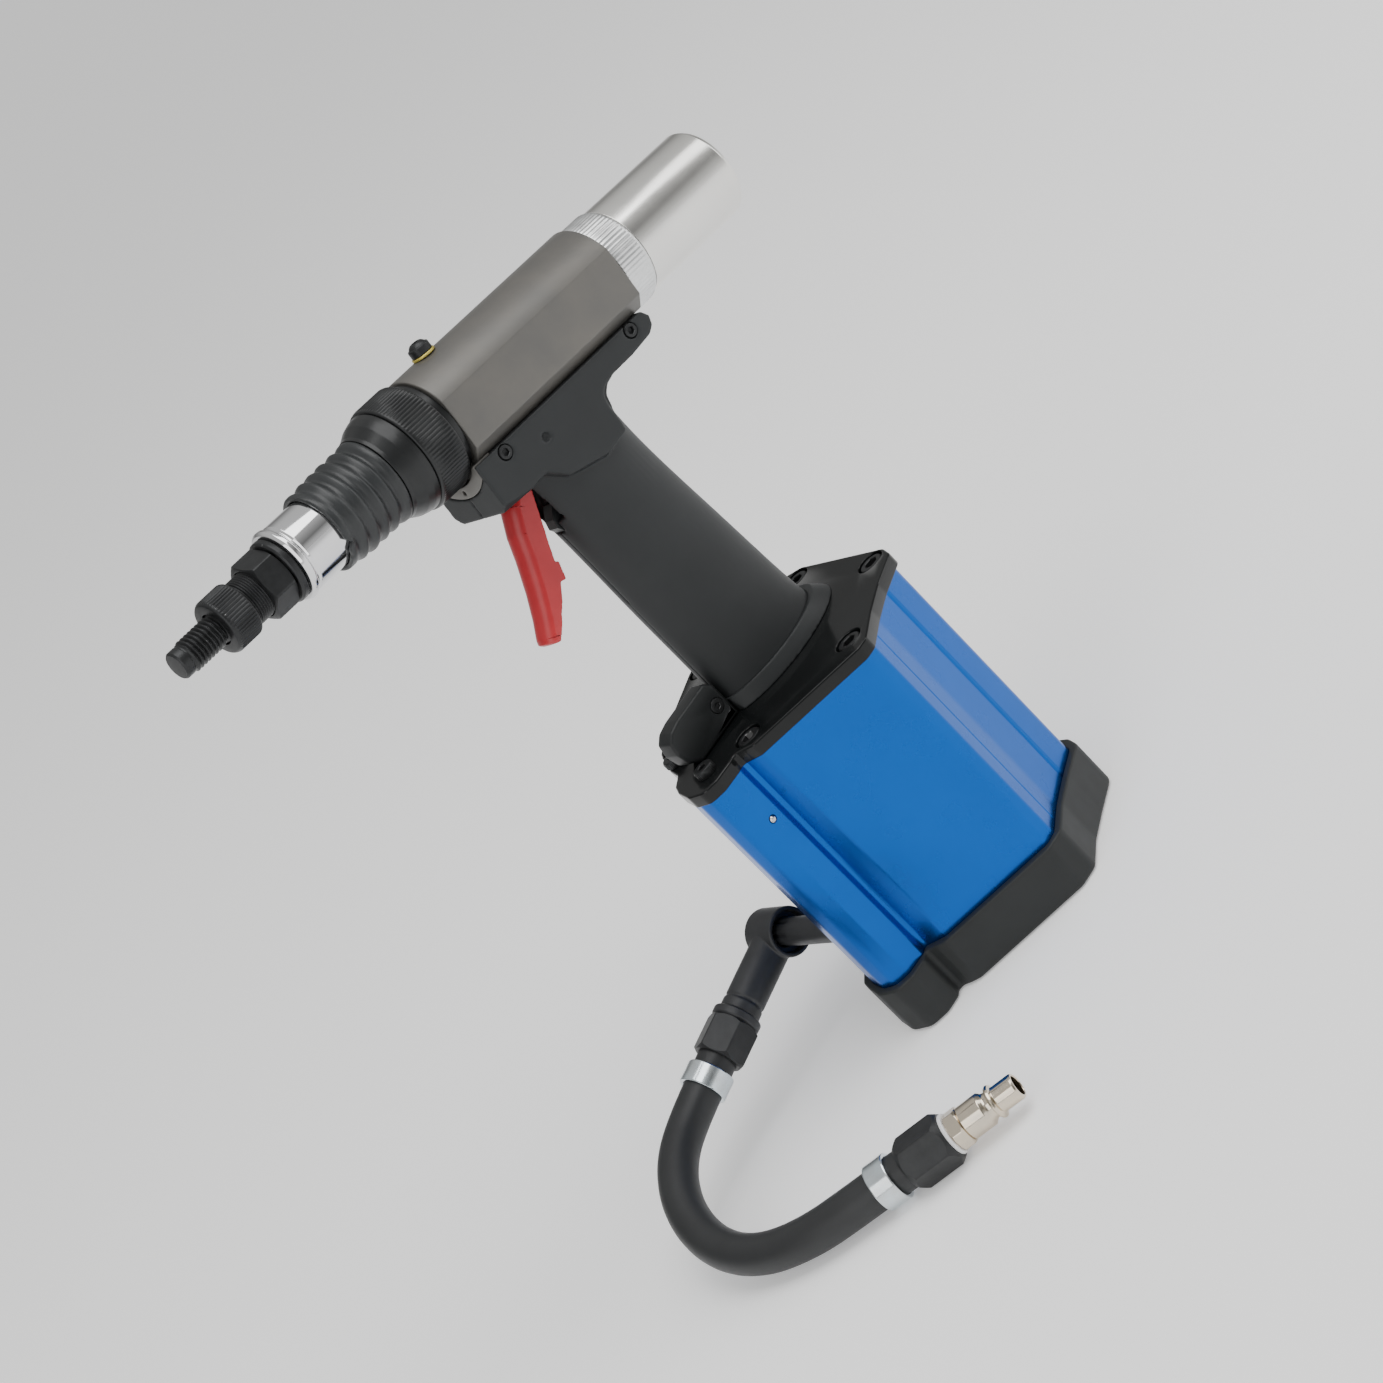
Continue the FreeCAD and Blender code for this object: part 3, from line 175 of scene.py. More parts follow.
def lathe(mb, m, prof, segs=96, n=5, closed=True, rfun=None):
    """Solid of revolution about local Z: prof is (radius, station[, corner radius])."""
    pts = rounded(prof, n, closed)
    rows = []
    for p in pts:
        r, s = max(0.0, p[0]), p[1]
        if r < 1e-6:
            rows.append(mb.point(m, (0, 0, s)))
        else:
            ring = []
            for j in range(segs):
                a = 2 * math.pi * j / segs
                rr = rfun(a, r, s) if rfun else r
                ring.append((rr * math.cos(a), rr * math.sin(a), s))
            rows.append(mb.ring(m, ring))
    k = len(rows)
    for i in range(k if closed else k - 1):
        a, b = rows[i], rows[(i + 1) % k]
        if isinstance(a, int) and isinstance(b, int):
            continue
        if isinstance(a, int):
            mb.fan(b, a)
        elif isinstance(b, int):
            mb.fan(a, b)
        else:
            mb.bridge(a, b)


def offset(poly, d):
    """Closed 2-D outline moved inwards by d."""
    n = len(poly)
    area = sum(poly[i].x * poly[(i + 1) % n].y - poly[(i + 1) % n].x * poly[i].y for i in range(n))
    sgn = 1 if area > 0 else -1
    out = []
    for i in range(n):
        a, p, b = poly[i - 1], poly[i], poly[(i + 1) % n]
        e1 = (p - a).normalized()
        e2 = (b - p).normalized()
        n1 = Vector((-e1.y, e1.x)) * sgn
        n2 = Vector((-e2.y, e2.x)) * sgn
        bis = (n1 + n2)
        if bis.length < 1e-6:
            bis = n1
        bis.normalize()
        k = max(0.45, bis.dot(n1))
        out.append(p + bis * (d / k))
    return out


def tidy(poly, eps=0.004):
    out = []
    for p in poly:
        if not out or (p - out[-1]).length > eps:
            out.append(p)
    while (out[0] - out[-1]).length <= eps:
        out.pop()
    return out


def cap(mb, m, loops, z):
    """Flat face at z bounded by the first loop, with the others as holes; loops are index lists with their 2-D points."""
    verts, edges, ids = [], [], []
    for idx, pts in loops:
        i0 = len(verts)
        verts += [Vector((p[0], p[1])) for p in pts]
        ids += idx
        k = len(pts)
        edges += [(i0 + i, i0 + (i + 1) % k) for i in range(k)]
    vo, eo, fo, ov, _, _ = delaunay_2d_cdt(verts, edges, [], 1, 1e-5)
    def inside(p, poly):
        c = False
        j = len(poly) - 1
        for i in range(len(poly)):
            xi, yi, xj, yj = poly[i][0], poly[i][1], poly[j][0], poly[j][1]
            if (yi > p[1]) != (yj > p[1]) and p[0] < (xj - xi) * (p[1] - yi) / (yj - yi) + xi:
                c = not c
            j = i
        return c
    for f in fo:
        c = sum((vo[i] for i in f), Vector((0, 0))) / len(f)
        if not inside(c, loops[0][1]):
            continue
        if any(inside(c, lp[1]) for lp in loops[1:]):
            continue
        g = []
        for i in f:
            if ov[i]:
                g.append(ids[ov[i][0]])
            else:
                g.append(mb.point(m, (vo[i].x, vo[i].y, z)))
        mb.face(g)


def circle(cx, cy, r, n=40, turn=0.0):
    return [Vector((cx + r * math.cos(2 * math.pi * i / n + turn), cy + r * math.sin(2 * math.pi * i / n + turn))) for i in range(n)]


def plate(mb, m, outline, z0, z1, bt=0.5, bb=0.5, holes=(), steps=4, shape=None):
    """Prism between z0 and z1 with rounded rims. holes: (outline2d, depth or None, rim)."""
    o = tidy(outline)
    levels = []
    for i in range(steps + 1):
        a = math.pi / 2 * i / steps
        levels.append((z0 + bb * (1 - math.sin(a)), bb * (1 - math.cos(a))))
    levels = [(z0 + bb * (1 - math.cos(math.pi / 2 * i / steps)), bb * (1 - math.sin(math.pi / 2 * i / steps))) for i in range(steps + 1)] if bb > 0 else [(z0, 0.0)]
    if shape:
        levels += shape
    levels += [(z1 - bt * (1 - math.sin(math.pi / 2 * i / steps)), bt * (1 - math.cos(math.pi / 2 * i / steps))) for i in range(steps + 1)] if bt > 0 else [(z1, 0.0)]
    rings = []
    for z, d in levels:
        pts = offset(o, d) if d > 1e-6 else o
        rings.append((mb.ring(m, [(p.x, p.y, z) for p in pts]), pts))
    for i in range(len(rings) - 1):
        mb.bridge(rings[i][0], rings[i + 1][0])
    top = [rings[-1]]
    bot = [rings[0]]
    for (h, depth, rim) in holes:
        prev = None
        first = None
        st = 3
        seq = []
        if rim > 0:
            for i in range(st + 1):
                a = math.pi / 2 * i / st
                seq.append((z1 - rim * (1 - math.cos(a)), -rim * (1 - math.sin(a))))
        else:
            seq.append((z1, 0.0))
        zb = z0 if depth is None else z1 - depth
        seq.append((zb, 0.0))
        for z, d in seq:
            pts = offset(h, d) if abs(d) > 1e-6 else h
            r = mb.ring(m, [(p.x, p.y, z) for p in pts])
            if prev:
                mb.bridge(prev[0], r)
            else:
                first = (r, pts)
            prev = (r, pts)
        top.append(first)
        if depth is None:
            bot.append(prev)
        else:
            mb.face(prev[0])
    cap(mb, m, top, z1)
    cap(mb, m, bot, z0)


def hexr(a, af, turn=0.0, corner=0.985):
    a = (a - math.radians(turn)) % (math.pi / 3) - math.pi / 6
    return min(af / 2 / math.cos(a), af / 2 / math.cos(math.pi / 6) * corner)


HEXA = []
for _k in range(6):
    for _d in (-30, -29, -27.6, -26, -22, -16, -9, 0, 9, 16, 22, 26, 27.6, 29):
        HEXA.append(math.radians(60 * _k + 30 + _d))


def hexnut(mb, m, af, z0, z1, bore, turn=0.0, ch0=1.0, ch1=1.0, slope=0.55, rim=0.3, r_end=None):
    """Hexagon with turned chamfers: the chamfer's edge on each flat is the true curve."""
    re = (r_end if r_end else af / 2 * 0.985)
    ang = [a + math.radians(turn) for a in HEXA]
    def hr(a):
        return hexr(a, af, turn)
    def R(z, f):
        return [(f(a) * math.cos(a), f(a) * math.sin(a), z(a) if callable(z) else z) for a in ang]
    rows = [
        R(z0, lambda a: bore + rim),
        R(z0, lambda a: min(re, hr(a)) if ch0 else hr(a)),
        R(lambda a: z0 + (max(0.0, hr(a) - re) * slope if ch0 else 0.0), hr),
        R(lambda a: z1 - (max(0.0, hr(a) - re) * slope if ch1 else 0.0), hr),
        R(z1, lambda a: min(re, hr(a)) if ch1 else hr(a)),
        R(z1, lambda a: bore + rim),
        R(z1 - rim, lambda a: bore),
        R(z0 + rim, lambda a: bore),
    ]
    idx = [mb.ring(m, r) for r in rows]
    for i in range(len(idx)):
        mb.bridge(idx[i], idx[(i + 1) % len(idx)])


def socket_head(mb, m, r, h, af, depth, knurl=0.0, teeth=48, round_top=0.4, dome=0.0, turn=0.0, shank=None):
    """Socket screw: base of the head at local z = 0, top at z = h."""
    n = 96
    A = [2 * math.pi * i / n for i in range(n)]
    def C(z, f):
        return mb.ring(m, [(f(a) * math.cos(a), f(a) * math.sin(a), z) for a in A])
    def kn(a):
        return r - knurl * (0.5 + 0.5 * math.cos(teeth * a))
    hx = lambda a: hexr(a, af, turn, 0.99)
    rows = []
    if shank:
        rows.append(C(-shank[1], lambda a: shank[0]))
        rows.append(C(0, lambda a: shank[0]))
    rows.append(C(0, lambda a: r - 0.25))
    rows.append(C(0.25, kn))
    rows.append(C(h - round_top - dome - 0.15, kn))
    for i in range(5):
        t = math.pi / 2 * i / 4
        rows.append(C(h - dome - round_top * (1 - math.sin(t)), lambda a, t=t: r - knurl - round_top * (1 - math.cos(t))))
    if dome > 0:
        for i in range(1, 6):
            rr = r - round_top - (r - round_top - af * 0.66) * i / 5
            k = (rr - af * 0.66) / max(1e-6, (r - round_top - af * 0.66))
            rows.append(C(h - dome * k * k, lambda a, rr=rr: rr))
    rows.append(C(h, lambda a: hx(a) + 0.22))
    rows.append(C(h - 0.2, hx))
    rows.append(C(h - depth, hx))
    for i in range(len(rows) - 1):
        mb.bridge(rows[i], rows[i + 1])
    mb.fan(rows[-1], mb.point(m, (0, 0, h - depth - 0.4)))
    mb.face(rows[0])


def thread(mb, m, s0, s1, r, depth, pitch, segs=72, per=12, end0=None, end1=None, wear=None):
    """Helical thread as a fine height field; end0 and end1 are radii that it runs out to."""
    rows = []
    n = int((s1 - s0) / pitch * per)
    for i in range(n + 1):
        s = s0 + (s1 - s0) * i / n
        pts = []
        for j in range(segs):
            a = 2 * math.pi * j / segs
            ph = ((s - s0) / pitch - j / segs) % 1.0
            t = abs(2 * ph - 1)
            t = max(0.0, min(1.0, (t - 0.12) / 0.74))
            rr = r - depth * (1 - t)
            if end0 is not None:
                rr = min(rr, end0 + (s - s0) * 1.0)
            if end1 is not None:
                rr = min(rr, end1 + (s1 - s) * 1.0)
            pts.append((rr * math.cos(a), rr * math.sin(a), s))
        rows.append(mb.ring(m, pts))
    for i in range(n):
        mb.bridge(rows[i], rows[i + 1])
    return rows[0], rows[-1]


def remeshed(names, name, voxel, smooth=4, factor=0.5, keep=1.0):
    """Copy CAD solids into one object, remesh it finely and ease its edges."""
    bm = bmesh.new()
    for nd in names:
        tmp = NODES[nd].data
        bm.from_mesh(tmp)
    me = bpy.data.meshes.new(name)
    bm.to_mesh(me)
    bm.free()
    o = bpy.data.objects.new(name, me)
    bpy.context.scene.collection.objects.link(o)
    md = o.modifiers.new("remesh", "REMESH")
    md.mode = "VOXEL"
    md.voxel_size = voxel * MM
    md.adaptivity = 0.0
    if smooth:
        sm = o.modifiers.new("ease", "SMOOTH")
        sm.factor = factor
        sm.iterations = smooth
    dg = bpy.context.evaluated_depsgraph_get()
    new = bpy.data.meshes.new_from_object(o.evaluated_get(dg))
    o.modifiers.clear()
    o.data = new
    new.shade_smooth()
    return o


# ---------------------------------------------------------------------------
# materials
# ---------------------------------------------------------------------------
def nd(nt, kind, **kw):
    n = nt.nodes.new(kind)
    for k, v in kw.items():
        setattr(n, k, v)
    return n


def material(name, base, rough=0.4, metal=0.0, var=0.12, vscale=60.0, rvar=0.06, fine=1800.0, bump=0.12, bdist=0.00005,
             coat=0.0, coat_rough=0.05, spec=0.5, lines=None, wear=None, tint=None, sheen=0.0, stretch=None, specks=None):
    m = bpy.data.materials.new(name)
    m.use_nodes = True
    nt = m.node_tree
    nt.nodes.clear()
    out = nd(nt, "ShaderNodeOutputMaterial")
    b = nd(nt, "ShaderNodeBsdfPrincipled")
    nt.links.new(b.outputs[0], out.inputs[0])
    b.inputs["Metallic"].default_value = metal
    b.inputs["Coat Weight"].default_value = coat
    b.inputs["Coat Roughness"].default_value = coat_rough
    b.inputs["Specular IOR Level"].default_value = spec
    if sheen:
        b.inputs["Sheen Weight"].default_value = sheen
        b.inputs["Sheen Roughness"].default_value = 0.4
    tc = nd(nt, "ShaderNodeTexCoord")
    mp = nd(nt, "ShaderNodeMapping")
    if stretch:
        mp.inputs["Rotation"].default_value = stretch[0]
        mp.inputs["Scale"].default_value = stretch[1]
    nt.links.new(tc.outputs["Object"], mp.inputs[0])
    n1 = nd(nt, "ShaderNodeTexNoise")
    n1.inputs["Scale"].default_value = vscale
    n1.inputs["Detail"].default_value = 5.0
    n1.inputs["Roughness"].default_value = 0.6
    nt.links.new(mp.outputs[0], n1.inputs["Vector"])
    ramp = nd(nt, "ShaderNodeValToRGB")
    lo = [max(0.0, c * (1 - var)) for c in base]
    hi = [min(1.0, c * (1 + var)) for c in base]
    if tint:
        hi = [min(1.0, c * (1 + var) * t) for c, t in zip(base, tint)]
    ramp.color_ramp.elements[0].position = 0.32
    ramp.color_ramp.elements[1].position = 0.68
    ramp.color_ramp.elements[0].color = (*lo, 1)
    ramp.color_ramp.elements[1].color = (*hi, 1)
    nt.links.new(n1.outputs["Fac"], ramp.inputs[0])
    colour = ramp.outputs[0]
    if wear:
        g = nd(nt, "ShaderNodeNewGeometry")
        n3 = nd(nt, "ShaderNodeTexNoise")
        n3.inputs["Scale"].default_value = wear[2]
        n3.inputs["Detail"].default_value = 8.0
        nt.links.new(tc.outputs["Object"], n3.inputs["Vector"])
        ad = nd(nt, "ShaderNodeMath", operation="MULTIPLY_ADD")
        ad.inputs[1].default_value = wear[3] if len(wear) > 3 else 0.25
        nt.links.new(n3.outputs["Fac"], ad.inputs[0])
        nt.links.new(g.outputs["Pointiness"], ad.inputs[2])
        r2 = nd(nt, "ShaderNodeValToRGB")
        r2.color_ramp.elements[0].position = wear[1]
        r2.color_ramp.elements[1].position = wear[1] + 0.07
        nt.links.new(ad.outputs[0], r2.inputs[0])
        mx = nd(nt, "ShaderNodeMix", data_type="RGBA")
        nt.links.new(r2.outputs[0], mx.inputs["Factor"])
        nt.links.new(colour, mx.inputs["A"])
        mx.inputs["B"].default_value = (*wear[0], 1)
        colour = mx.outputs["Result"]
    if specks:
        n4 = nd(nt, "ShaderNodeTexNoise")
        n4.inputs["Scale"].default_value = specks[1]
        n4.inputs["Detail"].default_value = 3.0
        nt.links.new(tc.outputs["Object"], n4.inputs["Vector"])
        r4 = nd(nt, "ShaderNodeValToRGB")
        r4.color_ramp.elements[0].position = specks[2]
        r4.color_ramp.elements[1].position = min(1.0, specks[2] + 0.06)
        nt.links.new(n4.outputs["Fac"], r4.inputs[0])
        mx4 = nd(nt, "ShaderNodeMix", data_type="RGBA")
        nt.links.new(r4.outputs[0], mx4.inputs["Factor"])
        nt.links.new(colour, mx4.inputs["A"])
        mx4.inputs["B"].default_value = (*specks[0], 1)
        colour = mx4.outputs["Result"]
    nt.links.new(colour, b.inputs["Base Color"])
    mr = nd(nt, "ShaderNodeMapRange")
    mr.inputs["To Min"].default_value = max(0.02, rough - rvar)
    mr.inputs["To Max"].default_value = min(1.0, rough + rvar)
    n2 = nd(nt, "ShaderNodeTexNoise")
    n2.inputs["Scale"].default_value = vscale * 3.1
    n2.inputs["Detail"].default_value = 6.0
    nt.links.new(mp.outputs[0], n2.inputs["Vector"])
    nt.links.new(n2.outputs["Fac"], mr.inputs["Value"])
    nt.links.new(mr.outputs[0], b.inputs["Roughness"])
    height = None
    if bump > 0:
        nf = nd(nt, "ShaderNodeTexNoise")
        nf.inputs["Scale"].default_value = fine
        nf.inputs["Detail"].default_value = 3.0
        nt.links.new(mp.outputs[0], nf.inputs["Vector"])
        height = nf.outputs["Fac"]
    if lines:
        # turning or drawing marks: noise that changes fast along one local direction only
        mp2 = nd(nt, "ShaderNodeMapping")
        mp2.inputs["Rotation"].default_value = lines[0]
        mp2.inputs["Scale"].default_value = lines[1]
        nt.links.new(tc.outputs["Object"], mp2.inputs[0])
        nl = nd(nt, "ShaderNodeTexNoise")
        nl.inputs["Scale"].default_value = 1.0
        nl.inputs["Detail"].default_value = 4.0
        nt.links.new(mp2.outputs[0], nl.inputs["Vector"])
        if height is None:
            height = nl.outputs["Fac"]
        else:
            am = nd(nt, "ShaderNodeMath", operation="MULTIPLY_ADD")
            am.inputs[1].default_value = lines[2]
            nt.links.new(nl.outputs["Fac"], am.inputs[0])
            nt.links.new(height, am.inputs[2])
            height = am.outputs[0]
    if height is not None:
        bp = nd(nt, "ShaderNodeBump")
        bp.inputs["Strength"].default_value = bump
        bp.inputs["Distance"].default_value = bdist
        nt.links.new(height, bp.inputs["Height"])
        nt.links.new(bp.outputs[0], b.inputs["Normal"])
    return m


ALONG = (0.0, math.pi / 2 - TILT, 0.0)      # turns object space so that local Z runs along the barrel
TURN_B = ((0, TILT - math.pi / 2, 0), (30.0, 30.0, 9000.0), 0.6)
DRAW_Z = ((0, 0, 0), (2500.0, 2500.0, 8.0), 0.5)

M = {
    "blue_anodised": material("blue_anodised", (0.0, 0.095, 0.43), 0.27, 0.9, var=0.04, vscale=25, rvar=0.03, fine=2500, bump=0.04,
                              coat=0.10, coat_rough=0.08, spec=0.4, lines=DRAW_Z),
    "gloss_black": material("gloss_black", (0.006, 0.0068, 0.007), 0.17, 0.0, var=0.15, vscale=40, rvar=0.03, fine=900, bump=0.03,
                            coat=0.15, coat_rough=0.05, spec=0.2),
    "black_oxide": material("black_oxide", (0.030, 0.031, 0.032), 0.36, 0.6, var=0.15, vscale=220, rvar=0.08, fine=4000, bump=0.08, spec=0.35,
                            wear=((0.30, 0.30, 0.30), 0.80, 700.0, 0.3)),
    "boot_rubber": material("boot_rubber", (0.022, 0.024, 0.024), 0.55, 0.0, var=0.1, vscale=35, rvar=0.08, fine=2600, bump=0.25,
                            spec=0.3),
    "cast_alloy": material("cast_alloy", (0.5, 0.51, 0.52), 0.35, 1.0, var=0.1, vscale=90, fine=2500, bump=0.1),
    "bright_steel": material("bright_steel", (0.56, 0.56, 0.57), 0.22, 1.0, var=0.08, vscale=90, fine=2500, bump=0.06),
    "seal_rubber": material("seal_rubber", (0.02, 0.02, 0.02), 0.5, 0.0, var=0.15, vscale=80, fine=2500, bump=0.15),
    "grey_anodised": material("grey_anodised", (0.128, 0.125, 0.118), 0.42, 0.4, var=0.08, vscale=45, rvar=0.05, fine=5200, bump=0.16,
                              bdist=0.00004, tint=(1.03, 1.0, 0.96), specks=((0.26, 0.255, 0.245), 700.0, 0.80)),
    "black_anodised": material("black_anodised", (0.014, 0.015, 0.0155), 0.32, 0.25, var=0.15, vscale=70, rvar=0.06, fine=3500, bump=0.06,
                               coat=0.08, coat_rough=0.2, spec=0.4),
    "bellows_rubber": material("bellows_rubber", (0.017, 0.019, 0.02), 0.4, 0.0, var=0.2, vscale=60, rvar=0.09, fine=2200, bump=0.2,
                               spec=0.5),
    "chrome_plate": material("chrome_plate", (0.72, 0.72, 0.73), 0.07, 1.0, var=0.03, vscale=50, rvar=0.03, fine=1500, bump=0.02),
    "polished_aluminium": material("polished_aluminium", (0.80, 0.79, 0.76), 0.2, 1.0, var=0.03, vscale=40, rvar=0.05, fine=3000, bump=0.03,
                                   lines=TURN_B),
    "turned_aluminium": material("turned_aluminium", (0.74, 0.75, 0.75), 0.34, 1.0, var=0.08, vscale=200, rvar=0.08, fine=3500, bump=0.12),
    "grip_plastic": material("grip_plastic", (0.022, 0.024, 0.025), 0.5, 0.0, var=0.08, vscale=30, rvar=0.05, fine=4200, bump=0.3,
                             bdist=0.00005, spec=0.3),
    "trigger_red": material("trigger_red", (0.42, 0.018, 0.024), 0.33, 0.0, var=0.12, vscale=45, rvar=0.06, fine=2400, bump=0.12,
                            spec=0.45, tint=(1.0, 1.25, 1.15)),
    "valve_black": material("valve_black", (0.013, 0.0145, 0.015), 0.42, 0.0, var=0.12, vscale=60, rvar=0.06, fine=2800, bump=0.2, spec=0.32),
    "inlet_black": material("inlet_black", (0.024, 0.025, 0.027), 0.46, 0.0, var=0.15, vscale=80, rvar=0.06, fine=3000, bump=0.22),
    "fitting_black": material("fitting_black", (0.028, 0.029, 0.030), 0.42, 0.3, var=0.15, vscale=150, rvar=0.08, fine=3500, bump=0.14, spec=0.35,
                              wear=((0.24, 0.23, 0.22), 0.79, 500.0, 0.3), specks=((0.12, 0.115, 0.11), 520.0, 0.76)),
    "hose_rubber": material("hose_rubber", (0.020, 0.021, 0.022), 0.47, 0.0, var=0.15, vscale=50, rvar=0.08, fine=1700, bump=0.22, spec=0.42),
    "zinc_clamp": material("zinc_clamp", (0.66, 0.69, 0.70), 0.2, 1.0, var=0.1, vscale=110, rvar=0.09, fine=2400, bump=0.06,
                           tint=(0.94, 1.0, 1.04)),
    "white_seal": material("white_seal", (0.82, 0.82, 0.82), 0.45, 0.0, var=0.04, vscale=150, fine=2400, bump=0.06),
    "nickel_plate": material("nickel_plate", (0.66, 0.59, 0.49), 0.15, 1.0, var=0.07, vscale=120, rvar=0.06, fine=2400, bump=0.04,
                             tint=(1.02, 1.0, 0.95)),
    "brass_washer": material("brass_washer", (0.58, 0.47, 0.10), 0.35, 0.6, var=0.12, vscale=160, fine=2400, bump=0.08),
}
BODY = {}
for bname, nlist in frame["record"]["behaviour"]["bodies"].items():
    for n_ in nlist:
        BODY[n_] = bname
SLOT = {}
for sp in frame["record"]["subparts"]:
    SLOT[sp["node"]] = sp["material_slot"]


def dress(o, slot):
    o.data.materials.clear()
    o.data.materials.append(M[slot])


for n_, o_ in NODES.items():
    if len(o_.material_slots) == 0:
        o_.data.materials.append(M[SLOT[n_]])
    for sl in o_.material_slots:
        sl.material = M[SLOT[n_]]


def finish_piece(o, *nodes):
    """The piece stands for these CAD nodes, rides on their body and takes their finish."""
    dress(o, SLOT[nodes[0]])
    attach(o, BODY[nodes[0]])
    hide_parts(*nodes)
    return o


# ---------------------------------------------------------------------------
# camera
# ---------------------------------------------------------------------------
cam = bpy.data.cameras.new("view_camera")
cam.lens = 100.0
cam.sensor_width = 36.0
cam.clip_start = 0.05
cam.clip_end = 100.0
co = bpy.data.objects.new("view_camera", cam)
R_, U_, B_ = (-0.5296, 0.5272, -0.6646), (-0.7379, 0.1001, 0.6674), (0.4184, 0.8439, 0.3360)
cm = Matrix.Identity(4)
for i in range(3):
    cm[i][0], cm[i][1], cm[i][2] = R_[i], U_[i], B_[i]
cm[0][3], cm[1][3], cm[2][3] = 0.6034, 1.1499, 0.5999
loc, rot, _ = cm.decompose()
co.location = loc
co.rotation_mode = "QUATERNION"
co.rotation_quaternion = rot
bpy.context.scene.collection.objects.link(co)
bpy.context.scene.camera = co

# ---------------------------------------------------------------------------
# the hose: one smooth spline on the route's own points, with its fittings
# ---------------------------------------------------------------------------
HOSE = [(111.62, -40.0, 33.76), (133.34, -40.0, 30.28), (155.0, -32.5, 28.0), (171.5, -18.5, 21.5), (180.7, 1.0, 13.6),
        (181.3, 24.0, 9.4), (172.0, 47.0, 8.8), (156.53, 64.65, 9.2), (141.18, 79.27, 9.2)]
cu = bpy.data.curves.new("air_hose_tube", "CURVE")
cu.dimensions = "3D"
sp_ = cu.splines.new("NURBS")
sp_.points.add(len(HOSE) - 1)
for i, p in enumerate(HOSE):
    sp_.points[i].co = (p[0] * MM, p[1] * MM, p[2] * MM, 1.0)
sp_.order_u = 3
sp_.use_endpoint_u = True
sp_.resolution_u = 24
cu.bevel_depth = 0.0075
cu.bevel_resolution = 12
cu.use_fill_caps = True
hose = bpy.data.objects.new("air_hose_tube", cu)
bpy.context.scene.collection.objects.link(hose)
hose.data.materials.append(M["hose_rubber"])
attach(hose, BODY["air_hose"])
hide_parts("air_hose")

# crimp rings: rolled band with eased rims
mb = Mesh()
for m_, c0, c1 in ((LEG, 59.0, 67.4), (FARP, -4.2, 4.2)):
    lathe(mb, m_, [(7.55, c0, 0.2), (8.95, c0, 0.35), (9.1, c0 + 0.5, 0.3), (9.02, (c0 + c1) / 2, 4.0), (9.1, c1 - 0.5, 0.3), (8.95, c1, 0.35), (7.55, c1, 0.2)], segs=96)
clamps = finish_piece(mb.obj("crimp_rings"), "hose_clamps")

# far coupling: hexagon; its stub into the hose is left out, the hose runs up to the hexagon
mb = Mesh()
hexnut(mb, FARP, 18.0, 8.8, 27.8, 3.0, turn=30, ch0=1, ch1=1, slope=1.4, rim=0.4, r_end=8.45)
coup_end = finish_piece(mb.obj("end_coupling_hex"), "end_coupling")
mb = Mesh()
lathe(mb, FARP, [(3.8, 27.8, 0.1), (7.7, 27.8, 0.3), (7.9, 28.1, 0.2), (7.9, 28.9, 0.3), (7.7, 29.2, 0.2), (3.8, 29.2, 0.1)])
seal = finish_piece(mb.obj("seal_ring"), "seal_washer")
mb = Mesh()
hexnut(mb, FARP, 13.2, 29.2, 34.4, 5.0, turn=12, ch0=1, ch1=1, slope=0.8, rim=0.3, r_end=6.55)
lathe(mb, FARP, [(3.7, 29.3, 0.1), (5.2, 29.3), (5.2, 34.2), (6.0, 34.3, 0.4), (6.4, 35.0, 0.3), (6.4, 43.2, 0.6), (5.2, 44.4, 0.5), (5.0, 45.0, 0.2),
                 (5.0, 46.3, 0.25), (6.2, 46.7, 0.3), (6.5, 47.4, 0.4), (6.2, 48.2, 0.3), (4.9, 48.6, 0.25), (4.9, 56.3, 0.3), (4.5, 57.0, 0.3),
                 (3.9, 57.0, 0.15), (3.7, 56.7, 0.1)])
plug = finish_piece(mb.obj("quick_plug_body", smooth=38), "quick_plug")

# ---------------------------------------------------------------------------
# nose train on the barrel line
# ---------------------------------------------------------------------------
# mandrel: metric thread with a short pilot
mb = Mesh()
r0, r1 = thread(mb, BARREL, 142.7, 157.6, 6.0, 1.0, 1.75, segs=96, per=16, end0=5.0, end1=5.2)
lathe(mb, BARREL, [(5.2, 157.6), (5.15, 158.2, 0.2), (5.4, 158.5, 0.2), (5.4, 161.3, 0.5), (4.8, 162.0, 0.3), (0, 162.0)], closed=False, segs=96)
lathe(mb, BARREL, [(5.0, 142.7), (6.0, 142.0), (6.0, 92.2, 0.3), (7.0, 92.2, 0.3), (7.0, 76.0, 0.3), (0, 76.0)], closed=False, segs=96)
mand_v = finish_piece(mb.obj("mandrel_thread", smooth=50), "threaded_mandrel")

# knurled nosepiece
def straight_knurl(n, d, s0, s1):
    def f(a, r, s):
        if s <= s0 or s >= s1 or r < 5:
            return r
        return r - d * (0.5 - 0.5 * math.cos(n * a))
    return f


mb = Mesh()
TEETH = 56
rows = []
prof = [(6.4, 142.6), (6.7, 142.6), (9.5, 142.6), (9.9, 142.45), (10.2, 142.1), (10.55, 141.55), (10.7, 141.1), (10.7, 140.6), (10.7, 138.0), (10.7, 135.0), (10.7, 132.4),
        (10.65, 131.9), (10.35, 131.4), (10.0, 131.2), (9.05, 131.2), (9.05, 140.2), (6.4, 140.2)]
segs = TEETH * 6
for (r, s) in prof:
    ring = []
    for j in range(segs):
        a = 2 * math.pi * j / segs
        k = 1.0 if 131.6 <= s <= 141.7 else 0.0
        fade = max(0.0, min(1.0, (s - 131.6) / 0.8)) * max(0.0, min(1.0, (141.7 - s) / 1.0))
        rr = r - 0.32 * fade * k * abs(math.sin(TEETH * a / 2)) ** 1.0
        ring.append((rr * math.cos(a), rr * math.sin(a), s))
    rows.append(mb.ring(BARREL, ring))
